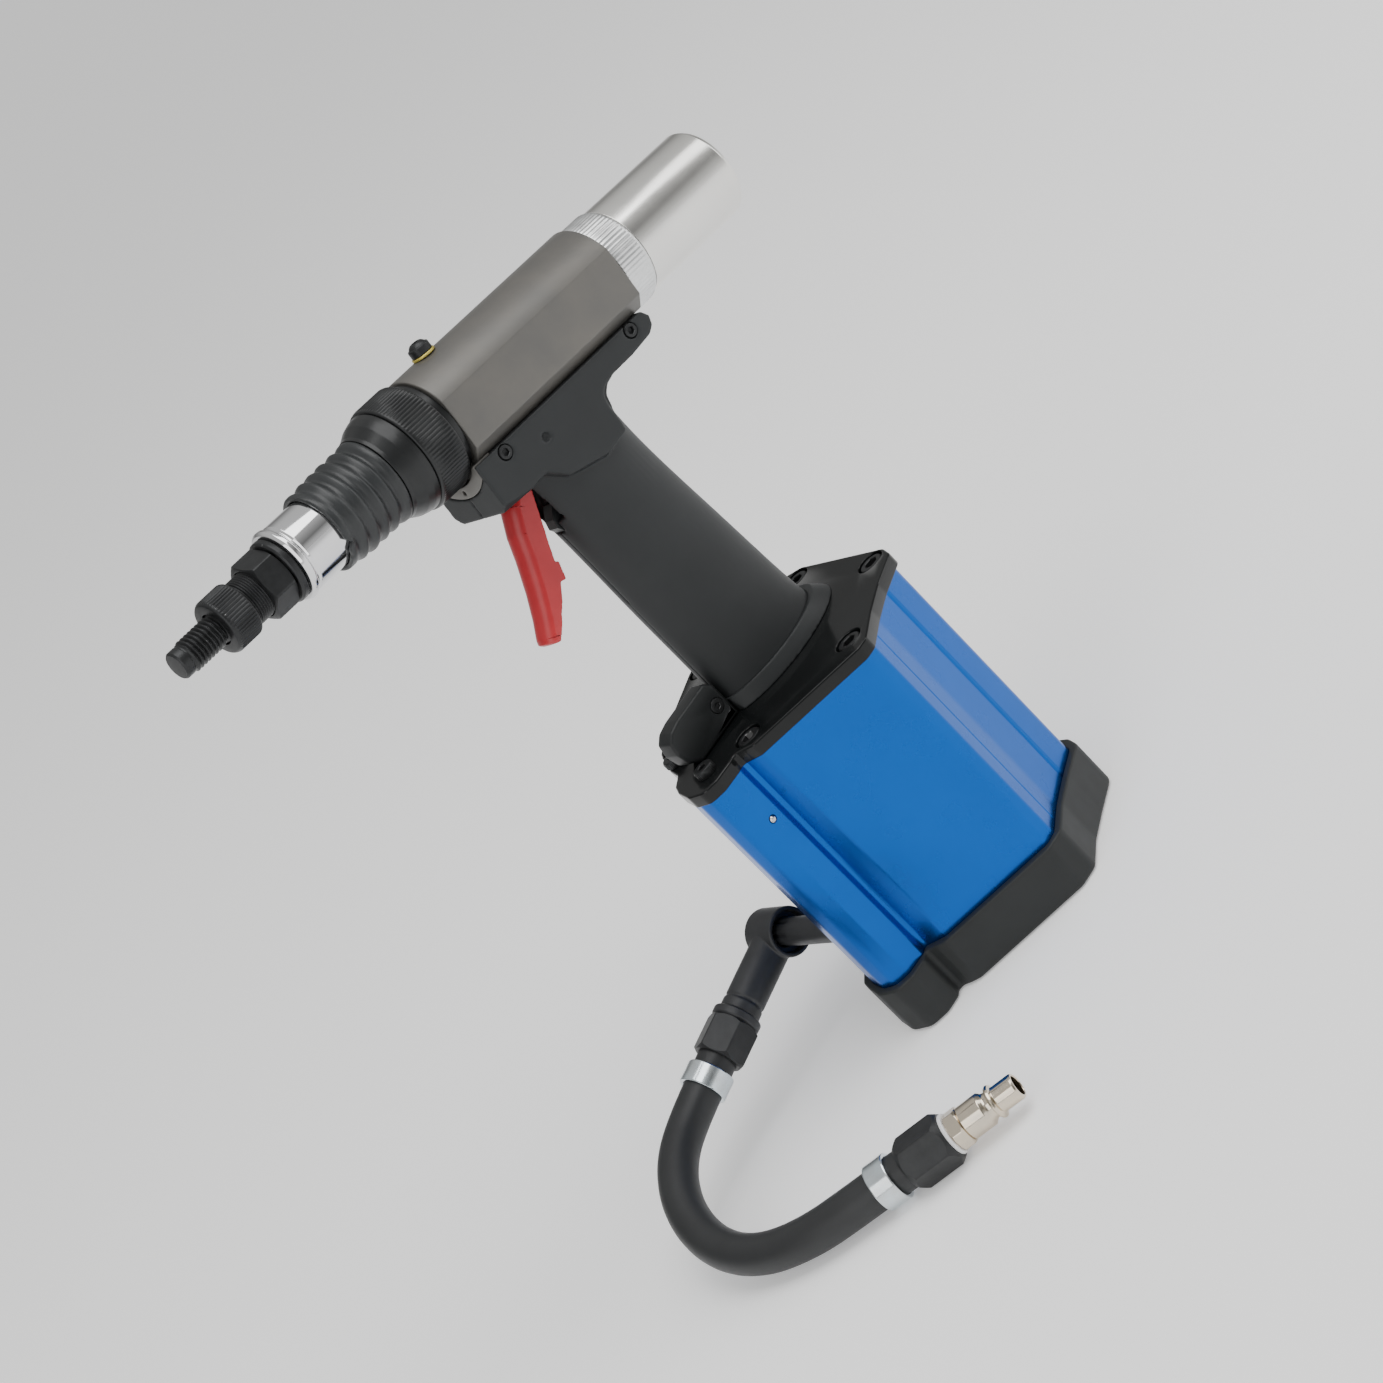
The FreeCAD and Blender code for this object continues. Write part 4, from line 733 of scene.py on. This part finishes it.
for i in range(len(rows)):
    mb.bridge(rows[i], rows[(i + 1) % len(rows)])
finish_piece(mb.obj("nosepiece_knurl", smooth=50), "knurled_nosepiece")

# lock nut with turned chamfers
mb = Mesh()
hexnut(mb, BARREL, 21.0, 113.3, 124.0, 9.05, turn=12, slope=0.62, rim=0.35, r_end=10.2)
finish_piece(mb.obj("lock_nut_hex"), "hex_lock_nut")

# shoulder and the fine thread that the nut and nosepiece sit on
mb = Mesh()
r0, r1 = thread(mb, BARREL, 113.2, 131.6, 9.0, 0.5, 1.0, segs=96, per=12, end0=8.5, end1=8.6)
lathe(mb, BARREL, [(8.6, 131.6), (9.0, 132.2), (9.0, 140.0), (6.4, 140.0), (6.4, 110.0, 0.2), (11.9, 110.0, 0.4), (12.6, 110.7, 0.5), (12.6, 112.5, 0.5), (11.8, 113.2, 0.4),
                   (8.5, 113.2)], closed=False)
finish_piece(mb.obj("nose_shoulder_body", smooth=50), "nose_shoulder")

# chrome sleeve and its end flange
mb = Mesh()
lathe(mb, BARREL, [(10.0, 66.2), (13.8, 66.2, 0.4), (13.8, 105.3, 0.5), (13.2, 106.0, 0.25), (13.2, 106.5, 0.2), (13.8, 106.9, 0.1), (10.0, 106.9)], segs=128)
finish_piece(mb.obj("sleeve_chrome"), "chrome_sleeve")
mb = Mesh()
lathe(mb, BARREL, [(10.0, 106.9), (13.9, 106.9, 0.3), (14.5, 107.7, 0.8), (14.5, 109.0, 0.7), (13.6, 110.0, 0.5), (10.0, 110.0)], segs=128)
finish_piece(mb.obj("sleeve_end_flange"), "sleeve_flange")

# bellows: soft corrugations, with a torn-out notch in its lip
mb = Mesh()
S = []
segs = 144
prof = [(14.3, 62.7), (16.6, 62.7), (17.0, 63.1), (17.0, 64.2), (16.3, 65.4), (15.5, 66.2), (15.3, 66.8), (15.6, 67.6), (16.4, 68.4), (16.75, 69.1), (16.6, 69.9), (15.8, 70.9),
        (15.35, 71.8), (15.6, 72.7), (16.4, 73.6), (16.75, 74.4), (16.6, 75.2), (15.8, 76.2), (15.35, 77.1), (15.6, 78.0), (16.4, 78.9), (16.75, 79.7), (16.6, 80.5),
        (15.7, 81.6), (15.25, 82.5), (15.5, 83.4), (16.2, 84.3), (16.45, 85.1), (16.2, 85.9), (15.5, 86.9), (15.15, 87.7), (15.3, 88.6), (15.75, 89.4), (15.9, 90.2),
        (15.85, 91.3), (15.6, 91.9), (15.0, 92.0), (14.2, 92.0), (13.95, 91.6), (13.95, 86.0), (14.1, 70.0), (14.3, 66.2)]
rows = []
for (r, s) in prof:
    ring = []
    for j in range(segs):
        a = 2 * math.pi * j / segs
        # local x is down and y to the left: the notch sits low on the left
        da = (a - math.radians(63) + math.pi) % (2 * math.pi) - math.pi
        ss = s
        if s > 89.8:
            dip = max(0.0, 1 - abs(da) / 0.16) * 1.9 + 0.35 * math.exp(-((da + 0.33) / 0.09) ** 2) + 0.25 * math.sin(7 * a) * 0.4
            ss = s - max(0.0, dip) * (s - 89.8) / 2.2
        wob = 0.12 * math.sin(3 * a + s * 0.8) + 0.07 * math.sin(5 * a - s * 1.7)
        rr = r + (wob if r > 14.6 else 0.0)
        ring.append((rr * math.cos(a), rr * math.sin(a), ss))
    rows.append(mb.ring(BARREL, ring))
for i in range(len(rows)):
    mb.bridge(rows[i], rows[(i + 1) % len(rows)])
finish_piece(mb.obj("bellows_soft", smooth=60), "bellows_boot")

# cone adapter
mb = Mesh()
lathe(mb, BARREL, [(10.0, 22.2), (15.9, 22.2, 0.3), (15.9, 34.2), (19.2, 34.2, 0.3), (19.2, 37.4, 0.3), (18.6, 37.4, 0.2), (18.6, 52.2, 0.2), (20.7, 52.2, 0.4),
                   (20.4, 54.6, 3.0), (19.6, 57.4, 3.0), (17.5, 61.2, 1.2), (17.2, 62.6, 0.3), (14.2, 62.6), (14.2, 66.0), (10.0, 66.0)], segs=160, n=7)
finish_piece(mb.obj("cone_adapter_turned"), "cone_adapter")

# knurled collar: fine straight teeth on its rear band, a plain front edge
mb = Mesh()
TEETH = 96
segs = TEETH * 5
prof = [(18.65, 37.6, 0), (20.9, 37.6, 0), (21.3, 37.8, 0), (21.55, 38.2, 0.0), (21.7, 38.7, 1), (21.7, 42.0, 1), (21.7, 46.0, 1), (21.7, 50.2, 1), (21.6, 50.9, 0.2), (21.45, 51.4, 0),
        (21.2, 51.8, 0), (20.9, 52.0, 0), (18.65, 52.0, 0)]
rows = []
for (r, s, k) in prof:
    ring = []
    for j in range(segs):
        a = 2 * math.pi * j / segs
        rr = r - 0.34 * k * abs(math.sin(TEETH * a / 2))
        ring.append((rr * math.cos(a), rr * math.sin(a), s))
    rows.append(mb.ring(BARREL, ring))
for i in range(len(rows)):
    mb.bridge(rows[i], rows[(i + 1) % len(rows)])
finish_piece(mb.obj("stroke_collar_knurl", smooth=50), "knurled_collar")

# ---------------------------------------------------------------------------
# head: extruded section with crowned top, eased lines and its lugs
# ---------------------------------------------------------------------------
HW = 19.5
sec = []
R_crown = (12.3 ** 2 + HW ** 2) / (2 * 12.3)
cx = -20.3 + R_crown
a_max = math.asin(min(1.0, HW / R_crown))
K = 28
for i in range(K + 1):
    a = -a_max + 2 * a_max * i / K
    sec.append((cx - R_crown * math.cos(a), R_crown * math.sin(a)))
outline = [(p[0], p[1], 0.0) for p in sec[1:-1]]
outline = [(sec[0][0], sec[0][1], 0.8)] + outline + [(sec[-1][0], sec[-1][1], 0.8), (11.5, HW, 1.0), (16.6, 14.5, 0.6), (16.6, -14.5, 0.6), (11.5, -HW, 1.0)]
head_out = rounded(outline, 5)
mb = Mesh()
plate(mb, BARREL, head_out, -55.0, 34.0, bt=0.7, bb=0.7, holes=[(circle(0, 0, 16.0, 64), 22.0, 0.3)])
# rear bore is hidden behind the serrated ring; the lugs run under the head
for pts, hy in (([(20.0, -16.4, 0.5), (20.0, -25.6, 0.5), (31.0, -25.6, 0.5), (31.0, -16.4, 0.5)], 13.5),
                ([(-51.0, -16.4, 0.5), (-51.0, -20.0, 1.0), (-49.0, -23.0, 2.0), (-14.0, -23.0, 2.0), (-12.0, -16.4, 0.5)], 13.5)):
    side = axes((0, 0, 0), (0, 1, 0), (1, 0, 0))
    o2 = []
    for s, v, r in pts:
        x, z = barrel_xz(s, v)
        o2.append((x, -z, r))
    plate(mb, side, rounded(o2, 6), -hy, hy, bt=0.5, bb=0.5)


def lug_arc(r, lim, n=40):
    """Arc of radius r under the barrel, as far as half width lim."""
    a = math.asin(lim / r)
    return [Vector((r * math.cos(-a + 2 * a * k / n), r * math.sin(-a + 2 * a * k / n))) for k in range(n + 1)]


full = lug_arc(27.0, 16.4) + [Vector((16.2, 16.4)), Vector((16.2, -16.4))]
plate(mb, BARREL, full, 30.0, 34.2, bt=0.1, bb=0.3, steps=2)
inner = lug_arc(22.2, 15.1)
crescent = lug_arc(27.0, 16.4) + [Vector((16.2, 16.4))] + list(reversed(inner)) + [Vector((16.2, -16.4))]
plate(mb, BARREL, crescent, 34.0, 38.4, bt=0.35, bb=0.1, holes=[(circle(24.5, 0, 1.0, 24), 3.0, 0.12)], steps=3)
finish_piece(mb.obj("head_body"), "head_housing")

# serrated ring behind the head
mb = Mesh()
TEETH = 72
segs = TEETH * 5
prof = [(3.7, -55.1, 0), (18.4, -55.1, 0), (19.0, -55.4, 0), (19.3, -56.0, 1), (19.3, -59.0, 1), (19.3, -63.0, 1), (19.3, -66.4, 1), (19.1, -67.0, 0.2), (18.7, -67.6, 0), (18.2, -68.0, 0), (3.7, -68.0, 0)]
rows = []
for (r, s, k) in prof:
    ring = []
    for j in range(segs):
        a = 2 * math.pi * j / segs
        t = (TEETH * a / (2 * math.pi)) % 1.0
        w = max(0.0, 1 - abs(t - 0.5) / 0.32)
        rr = r - 0.30 * k * w
        ring.append((rr * math.cos(a), rr * math.sin(a), s))
    rows.append(mb.ring(BARREL, ring))
for i in range(len(rows)):
    mb.bridge(rows[i], rows[(i + 1) % len(rows)])
finish_piece(mb.obj("serrated_ring_turned", smooth=45), "serrated_ring")

# rear tube
mb = Mesh()
lathe(mb, BARREL, [(17.1, -72.0), (16.0, -72.0), (16.0, -68.1), (18.5, -68.1, 0.2), (18.5, -117.0, 1.2), (17.7, -118.6, 1.0), (15.8, -119.0, 0.6), (15.2, -118.6, 0.3), (0, -118.5), (0, -116.6), (17.1, -116.6)],
      segs=160, n=6)
finish_piece(mb.obj("rear_tube_polished"), "rear_tube")

# oil plug and washer on the crown
PLUGP = BARREL @ Matrix.Translation((0, 0, 18.0)) @ Matrix.Rotation(-math.pi / 2, 4, "Y")
mb = Mesh()
socket_head(mb, at(PLUGP, 0, 0, 21.4), 4.2, 4.5, 2.5, 2.0, knurl=0.0, round_top=0.7, dome=1.4, shank=(2.4, 6.8))
finish_piece(mb.obj("oil_plug_head"), "oil_plug")
mb = Mesh()
lathe(mb, PLUGP, [(2.5, 20.35), (4.5, 20.35, 0.2), (4.7, 20.6, 0.15), (4.7, 21.1, 0.15), (4.5, 21.35, 0.2), (2.5, 21.35)], segs=64)
finish_piece(mb.obj("plug_washer_ring"), "plug_washer")

# ---------------------------------------------------------------------------
# grip shells: eased from the design's solids, one object per half
# ---------------------------------------------------------------------------
for half in ("left", "right"):
    g = remeshed(["grip_shell_" + half], "grip_half_" + half, 0.55, smooth=5, factor=0.5)
    finish_piece(g, "grip_shell_" + half)

# foot collar of the grip
g = remeshed(["grip_collar"], "grip_foot_collar", 0.45, smooth=5, factor=0.5)
finish_piece(g, "grip_collar")

# side screws of the yoke
mb = Mesh()
for (x, z) in ((27.9, 255.9), (-40.6, 247.0)):
    for sgn in (1, -1):
        fr = Matrix.Translation((x, 0, z)) @ Matrix.Rotation(math.radians(-90 * sgn), 4, "X")
        socket_head(mb, at(fr, 0, 0, 15.5), 2.75, 2.6, 2.5, 1.5, knurl=0.18, teeth=28, round_top=0.35, turn=20, shank=(1.2, 7.4))
finish_piece(mb.obj("yoke_screw_heads"), "yoke_screws")

# trigger: blade with a rounded crest
g = remeshed(["trigger"], "trigger_blade", 0.4, smooth=3, factor=0.5)
TRIG_FRONT = [Vector(p) for p in ((12.6, 251.0), (20.0, 249.6), (28.5, 244.6), (35.5, 238.8), (41.4, 230.4), (45.4, 222.6), (51.4, 212.5), (56.9, 204.6), (61.3, 199.2), (62.1, 197.4))]


def near_edge(q):
    best = None
    for i in range(len(TRIG_FRONT) - 1):
        a, b = TRIG_FRONT[i], TRIG_FRONT[i + 1]
        e = b - a
        k = max(0.0, min(1.0, (q - a).dot(e) / e.length_squared))
        d = (q - (a + e * k)).length
        if best is None or d < best[0]:
            best = (d, Vector((e.y, -e.x)).normalized())
    return best


for v_ in g.data.vertices:
    q = Vector((v_.co.x / MM, v_.co.z / MM))
    d, nin = near_edge(q)
    if d < 7.5:
        yy = min(6.0, abs(v_.co.y / MM))
        k = (1 - d / 7.5) * min(1.0, max(0.0, (q.x - 17.0) / 8.0))
        crown = (6.6 - math.sqrt(6.6 * 6.6 - yy * yy)) * 0.95 * k
        v_.co.x += nin.x * crown * MM
        v_.co.z += nin.y * crown * MM
finish_piece(g, "trigger")

# ---------------------------------------------------------------------------
# air cylinder, top plate, boot and screws
# ---------------------------------------------------------------------------
def whole_outline(half, front):
    return half + [(x, -y, r) for (x, y, r) in reversed(half[10:])] + front


CYL_FRONT = [
    (-4.0, -55.0, 4.0), (1.2, -53.4, 4.0), (32.0, -38.8, 10.0), (43.0, -30.2, 5.0),
    (47.6, -24.0, 5.0), (53.4, -15.0, 6.0), (56.8, -6.6, 5.0), (62.6, -1.6, 3.0),
]
PLATE_FRONT = [
    (-3.0, -57.0, 4.0), (2.0, -55.2, 4.0), (33.0, -40.6, 10.0), (44.6, -31.6, 5.0),
    (49.0, -24.5, 5.0), (54.2, -15.5, 6.0), (57.5, -7.0, 5.0), (63.5, -2.5, 3.0),
]
BOOT_FRONT = [
    (-4.0, -58.2, 5.0), (3.0, -56.8, 5.0), (34.0, -42.4, 10.0), (46.0, -33.0, 5.0),
    (51.0, -26.0, 5.0), (57.0, -15.5, 6.0), (60.5, -7.5, 5.0), (66.0, -2.5, 4.0),
]


CYL_HALF = [
    (66.2, 4.0, 5.0), (69.2, 13.5, 5.0), (67.8, 20.5, 5.0), (62.5, 23.8, 4.0),
    (53.6, 24.3, 3.0), (50.0, 22.4, 2.0), (47.6, 27.5, 2.0), (45.6, 31.6, 3.0),
    (4.6, 57.9, 5.0), (-0.9, 57.3, 4.0), (-14.6, 47.6, 30.0), (-28.5, 39.8, 20.0),
    (-43.4, 32.4, 5.0), (-46.6, 25.0, 4.0),
]
PLATE_HALF = [
    (66.6, 2.6, 5.0), (70.0, 12.8, 5.0), (68.8, 21.2, 5.0), (63.2, 24.6, 4.0),
    (54.6, 25.0, 3.0), (51.0, 24.2, 2.0), (49.2, 28.4, 3.0), (47.5, 32.8, 3.0),
    (5.6, 60.0, 4.0), (0.6, 60.0, 4.0), (-14.6, 49.4, 30.0), (-28.2, 41.4, 20.0),
    (-44.9, 33.9, 5.0), (-48.5, 26.5, 4.0),
]
BOOT_HALF = [
    (68.8, 3.2, 5.0), (72.6, 13.2, 6.0), (71.0, 23.0, 6.0), (64.0, 27.4, 5.0),
    (56.6, 27.4, 4.0), (52.6, 24.6, 2.5), (50.9, 29.8, 3.0), (48.8, 33.8, 4.0),
    (7.2, 60.8, 6.0), (-1.8, 60.8, 6.0), (-15.6, 50.6, 22.0), (-29.6, 43.0, 16.0),
    (-46.4, 34.6, 7.0), (-50.0, 26.0, 6.0),
]


def notch(poly, where, width, depth, flat=0.3):
    """Cut a small V groove into a closed outline, at the edge nearest to a point."""
    w = Vector(where)
    best, bi, bt = 1e9, 0, 0.0
    n = len(poly)
    for i in range(n):
        a, b = poly[i], poly[(i + 1) % n]
        d = b - a
        if d.length < width * 1.2:
            continue
        t = max(0.0, min(1.0, (w - a).dot(d) / d.length_squared))
        t = max(0.55 * width / d.length, min(1 - 0.55 * width / d.length, t))
        q = a + d * t
        if (q - w).length < best:
            best, bi, bt = (q - w).length, i, t
    a, b = poly[bi], poly[(bi + 1) % n]
    e = (b - a).normalized()
    q = a + (b - a) * bt
    area = sum(poly[i].x * poly[(i + 1) % n].y - poly[(i + 1) % n].x * poly[i].y for i in range(n))
    inn = Vector((-e.y, e.x)) * (1 if area > 0 else -1)
    new = [q - e * width / 2, q - e * width * flat / 2 + inn * depth, q + e * width * flat / 2 + inn * depth, q + e * width / 2]
    return poly[:bi + 1] + new + poly[bi + 1:]


cyl_out = tidy(rounded(whole_outline(CYL_HALF, CYL_FRONT), 10))
for sy in (1, -1):
    cyl_out = notch(cyl_out, (-7.5, sy * 52.8), 0.8, 0.3)
    cyl_out = notch(cyl_out, (-29.0, sy * 40.3), 1.8, 0.7)
    cyl_out = notch(cyl_out, (-31.5, sy * 38.8), 0.7, 0.25)
mb = Mesh()
plate(mb, WORLD, cyl_out, 19.5, 119.5, bt=0.15, bb=0.15, steps=1)
cyl_v = mb.obj("cylinder_extrusion", smooth=24)
# the inlet port and the ball's seat are cut into the lobe
for nm, mm_, rr, z0_, z1_ in (("port_cut", axes((58.3, 0, 42.3), (0, -1, 0), (1, 0, 0)), 5.6, -1.2, 32.0), ("seat_cut", axes((57.8, 0, 98.6), (0, 1, 0), (1, 0, 0)), 1.65, 22.0, 28.0)):
    mc = Mesh()
    lathe(mc, mm_, [(0, z0_), (rr, z0_), (rr, z1_), (0, z1_)], closed=False, segs=48)
    cutter = mc.obj(nm)
    bo = cyl_v.modifiers.new(nm, "BOOLEAN")
    bo.operation = "DIFFERENCE"
    bo.solver = "EXACT"
    bo.object = cutter
    dg = bpy.context.evaluated_depsgraph_get()
    new = bpy.data.meshes.new_from_object(cyl_v.evaluated_get(dg))
    cyl_v.modifiers.clear()
    cyl_v.data = new
    bpy.data.objects.remove(cutter)
cyl_v.data.shade_smooth()
cyl_v.data.set_sharp_from_angle(angle=math.radians(24))
finish_piece(cyl_v, "cylinder_shell")

BOLTS = [(48.5 * math.cos(math.radians(a)), 48.5 * math.sin(math.radians(a))) for a in (30, 90, 150, 210, 270, 330)]
LOBE_SCREWS = [(58.5, 14.5), (50.3, -14.6)]
plate_out = rounded(whole_outline(PLATE_HALF, PLATE_FRONT), 10)
mb = Mesh()
plate(mb, WORLD, plate_out, 119.5, 125.0, bt=0.9, bb=0.4, holes=[(circle(x, y, 5.6, 56), 3.4, 0.35) for x, y in BOLTS], steps=5)
finish_piece(mb.obj("top_plate_gloss"), "top_plate")
mb = Mesh()
for i, (x, y) in enumerate(BOLTS):
    socket_head(mb, at(WORLD, x, y, 121.6), 4.9, 3.0, 5.0, 2.0, knurl=0.22, teeth=40, round_top=0.5, turn=15 + 17 * i)
for i, (x, y) in enumerate(LOBE_SCREWS):
    socket_head(mb, at(WORLD, x, y, 125.0), 4.1, 3.2, 3.0, 1.8, knurl=0.2, teeth=34, round_top=0.45, turn=10)
finish_piece(mb.obj("plate_screw_heads"), "plate_screws")

boot_out = tidy(rounded(whole_outline(BOOT_HALF, BOOT_FRONT), 10))
in_out = tidy(rounded(whole_outline(CYL_HALF, CYL_FRONT), 10))
mb = Mesh()
plate(mb, WORLD, boot_out, 0.0, 20.5, bt=1.0, bb=1.6, holes=[(offset(in_out, -0.02), 12.3, 0.5)], steps=5)
finish_piece(mb.obj("boot_moulded"), "base_boot")

# steel ball in the lobe
mb = Mesh()
lathe(mb, axes((57.8, 23.6, 98.6), (0, 1, 0), (1, 0, 0)), [(0, -1.2), (1.5, -1.2), (1.5, 0.0, 0.3), (1.35, 0.7, 0.5), (0.8, 1.3, 0.4), (0, 1.5)], closed=False, segs=40)
finish_piece(mb.obj("lobe_ball"), "lobe_ball_plug")

# ---------------------------------------------------------------------------
# valve block at the grip's foot
# ---------------------------------------------------------------------------
vb = [(28.4, 125.3, 0.4), (28.4, 139.6, 1.6), (31.0, 142.6, 2.0), (48.6, 142.6, 4.0), (53.6, 141.8, 3.0), (57.0, 139.4, 2.2), (58.0, 134.4, 2.6), (56.6, 128.6, 2.2), (52.0, 125.3, 1.4)]
vb2 = rounded([(x, -z, r) for x, z, r in vb], 8)
mb = Mesh()
plate(mb, axes((0, 0, 0), (0, 1, 0), (1, 0, 0)), vb2, -2.5, 6.5, bt=1.3, bb=1.3, holes=[(circle(33.2, -133.4, 2.95, 40), 1.5, 0.25)], steps=5)
finish_piece(mb.obj("valve_block_moulded"), "valve_block")
mb = Mesh()
socket_head(mb, axes((33.2, 5.0, 133.4), (0, 1, 0), (1, 0, 0)), 2.8, 1.7, 2.0, 1.2, knurl=0.0, round_top=0.3, turn=8)
finish_piece(mb.obj("valve_cover_screw"), "valve_screw")

# ---------------------------------------------------------------------------
# inlet: fluted stem, swivel, collar and first coupling
# ---------------------------------------------------------------------------
mb = Mesh()
def flute(a, r, s):
    if r < 5.0 or s > -27.0 or s < -45.5:
        return r
    t = (6 * a / (2 * math.pi)) % 1.0
    return r - 0.75 * math.exp(-((t - 0.5) / 0.13) ** 2)


lathe(mb, STEM, [(0, -47.0), (5.0, -47.0), (5.4, -46.6), (5.4, -45.4), (5.4, -40.0), (5.4, -34.0), (5.4, -29.0), (5.4, -26.9), (5.4, -25.0), (5.4, 1.0), (0, 1.0)], closed=False, segs=144, rfun=flute)
finish_piece(mb.obj("inlet_stem_fluted", smooth=40), "inlet_stem")
g = remeshed(["swivel_elbow"], "swivel_elbow_eased", 0.32, smooth=4, factor=0.5)
finish_piece(g, "swivel_elbow")
mb = Mesh()
lathe(mb, LEG, [(2.6, 35.4), (8.8, 35.4, 0.3), (9.3, 35.9, 0.4), (9.3, 38.3, 0.4), (8.7, 39.0, 0.3), (2.6, 39.0)], segs=96)
finish_piece(mb.obj("swivel_collar_ring"), "swivel_collar")
mb = Mesh()
hexnut(mb, LEG, 18.0, 39.0, 54.0, 3.0, turn=18, slope=0.9, rim=0.4, r_end=8.75)
finish_piece(mb.obj("inlet_coupling_hex"), "inlet_coupling")

# ---------------------------------------------------------------------------
# floor, lights
# ---------------------------------------------------------------------------
fm = bpy.data.materials.new("floor_pale")
fm.use_nodes = True
fb = fm.node_tree.nodes["Principled BSDF"]
fb.inputs["Base Color"].default_value = (0.93, 0.93, 0.93, 1)
fb.inputs["Roughness"].default_value = 0.85
fb.inputs["Specular IOR Level"].default_value = 0.1
fb.inputs["Emission Color"].default_value = (1.0, 1.0, 1.0, 1)
fb.inputs["Emission Strength"].default_value = 0.30
fme = bpy.data.meshes.new("floor")
fme.from_pydata([(-40, -40, -0.0004), (40, -40, -0.0004), (40, 40, -0.0004), (-40, 40, -0.0004)], [], [(0, 1, 2, 3)])
floor = bpy.data.objects.new("floor", fme)
floor.data.materials.append(fm)
bpy.context.scene.collection.objects.link(floor)


def light(name, loc, target, size, energy, size_y=None, colour=(1, 1, 1)):
    la = bpy.data.lights.new(name, "AREA")
    la.shape = "RECTANGLE"
    la.size = size
    la.size_y = size_y or size
    la.energy = energy
    la.color = colour
    o = bpy.data.objects.new(name, la)
    o.location = loc
    d = Vector(target) - Vector(loc)
    o.rotation_mode = "QUATERNION"
    o.rotation_quaternion = d.to_track_quat("-Z", "Y")
    bpy.context.scene.collection.objects.link(o)
    return o


light("key_top", (-0.2, 0.5, 1.6), (0.03, 0, 0.15), 1.2, 16.0, 1.2)
light("side_nose", (1.5, 0.7, 0.8), (0.03, 0, 0.15), 0.9, 8.0, 1.4)
light("rear_strip", (-1.4, 0.6, 0.9), (0.0, 0, 0.15), 0.6, 8.0, 1.6)
w = bpy.data.worlds.new("studio")
bpy.context.scene.world = w
w.use_nodes = True
wn = w.node_tree
bg = wn.nodes["Background"]
bg.inputs[1].default_value = 0.7
tcw = wn.nodes.new("ShaderNodeTexCoord")
sep = wn.nodes.new("ShaderNodeSeparateXYZ")
wn.links.new(tcw.outputs["Generated"], sep.inputs[0])
rw = wn.nodes.new("ShaderNodeValToRGB")
rw.color_ramp.elements[0].position = 0.0
rw.color_ramp.elements[0].color = (0.9, 0.9, 0.9, 1)
rw.color_ramp.elements[1].position = 1.0
rw.color_ramp.elements[1].color = (1.0, 1.0, 1.0, 1)
for pos, c in ((0.12, 0.75), (0.30, 0.28), (0.48, 0.5), (0.72, 0.9)):
    e = rw.color_ramp.elements.new(pos)
    e.color = (c, c, c * 0.99, 1)
wn.links.new(sep.outputs["Z"], rw.inputs[0])
wn.links.new(rw.outputs[0], bg.inputs[0])
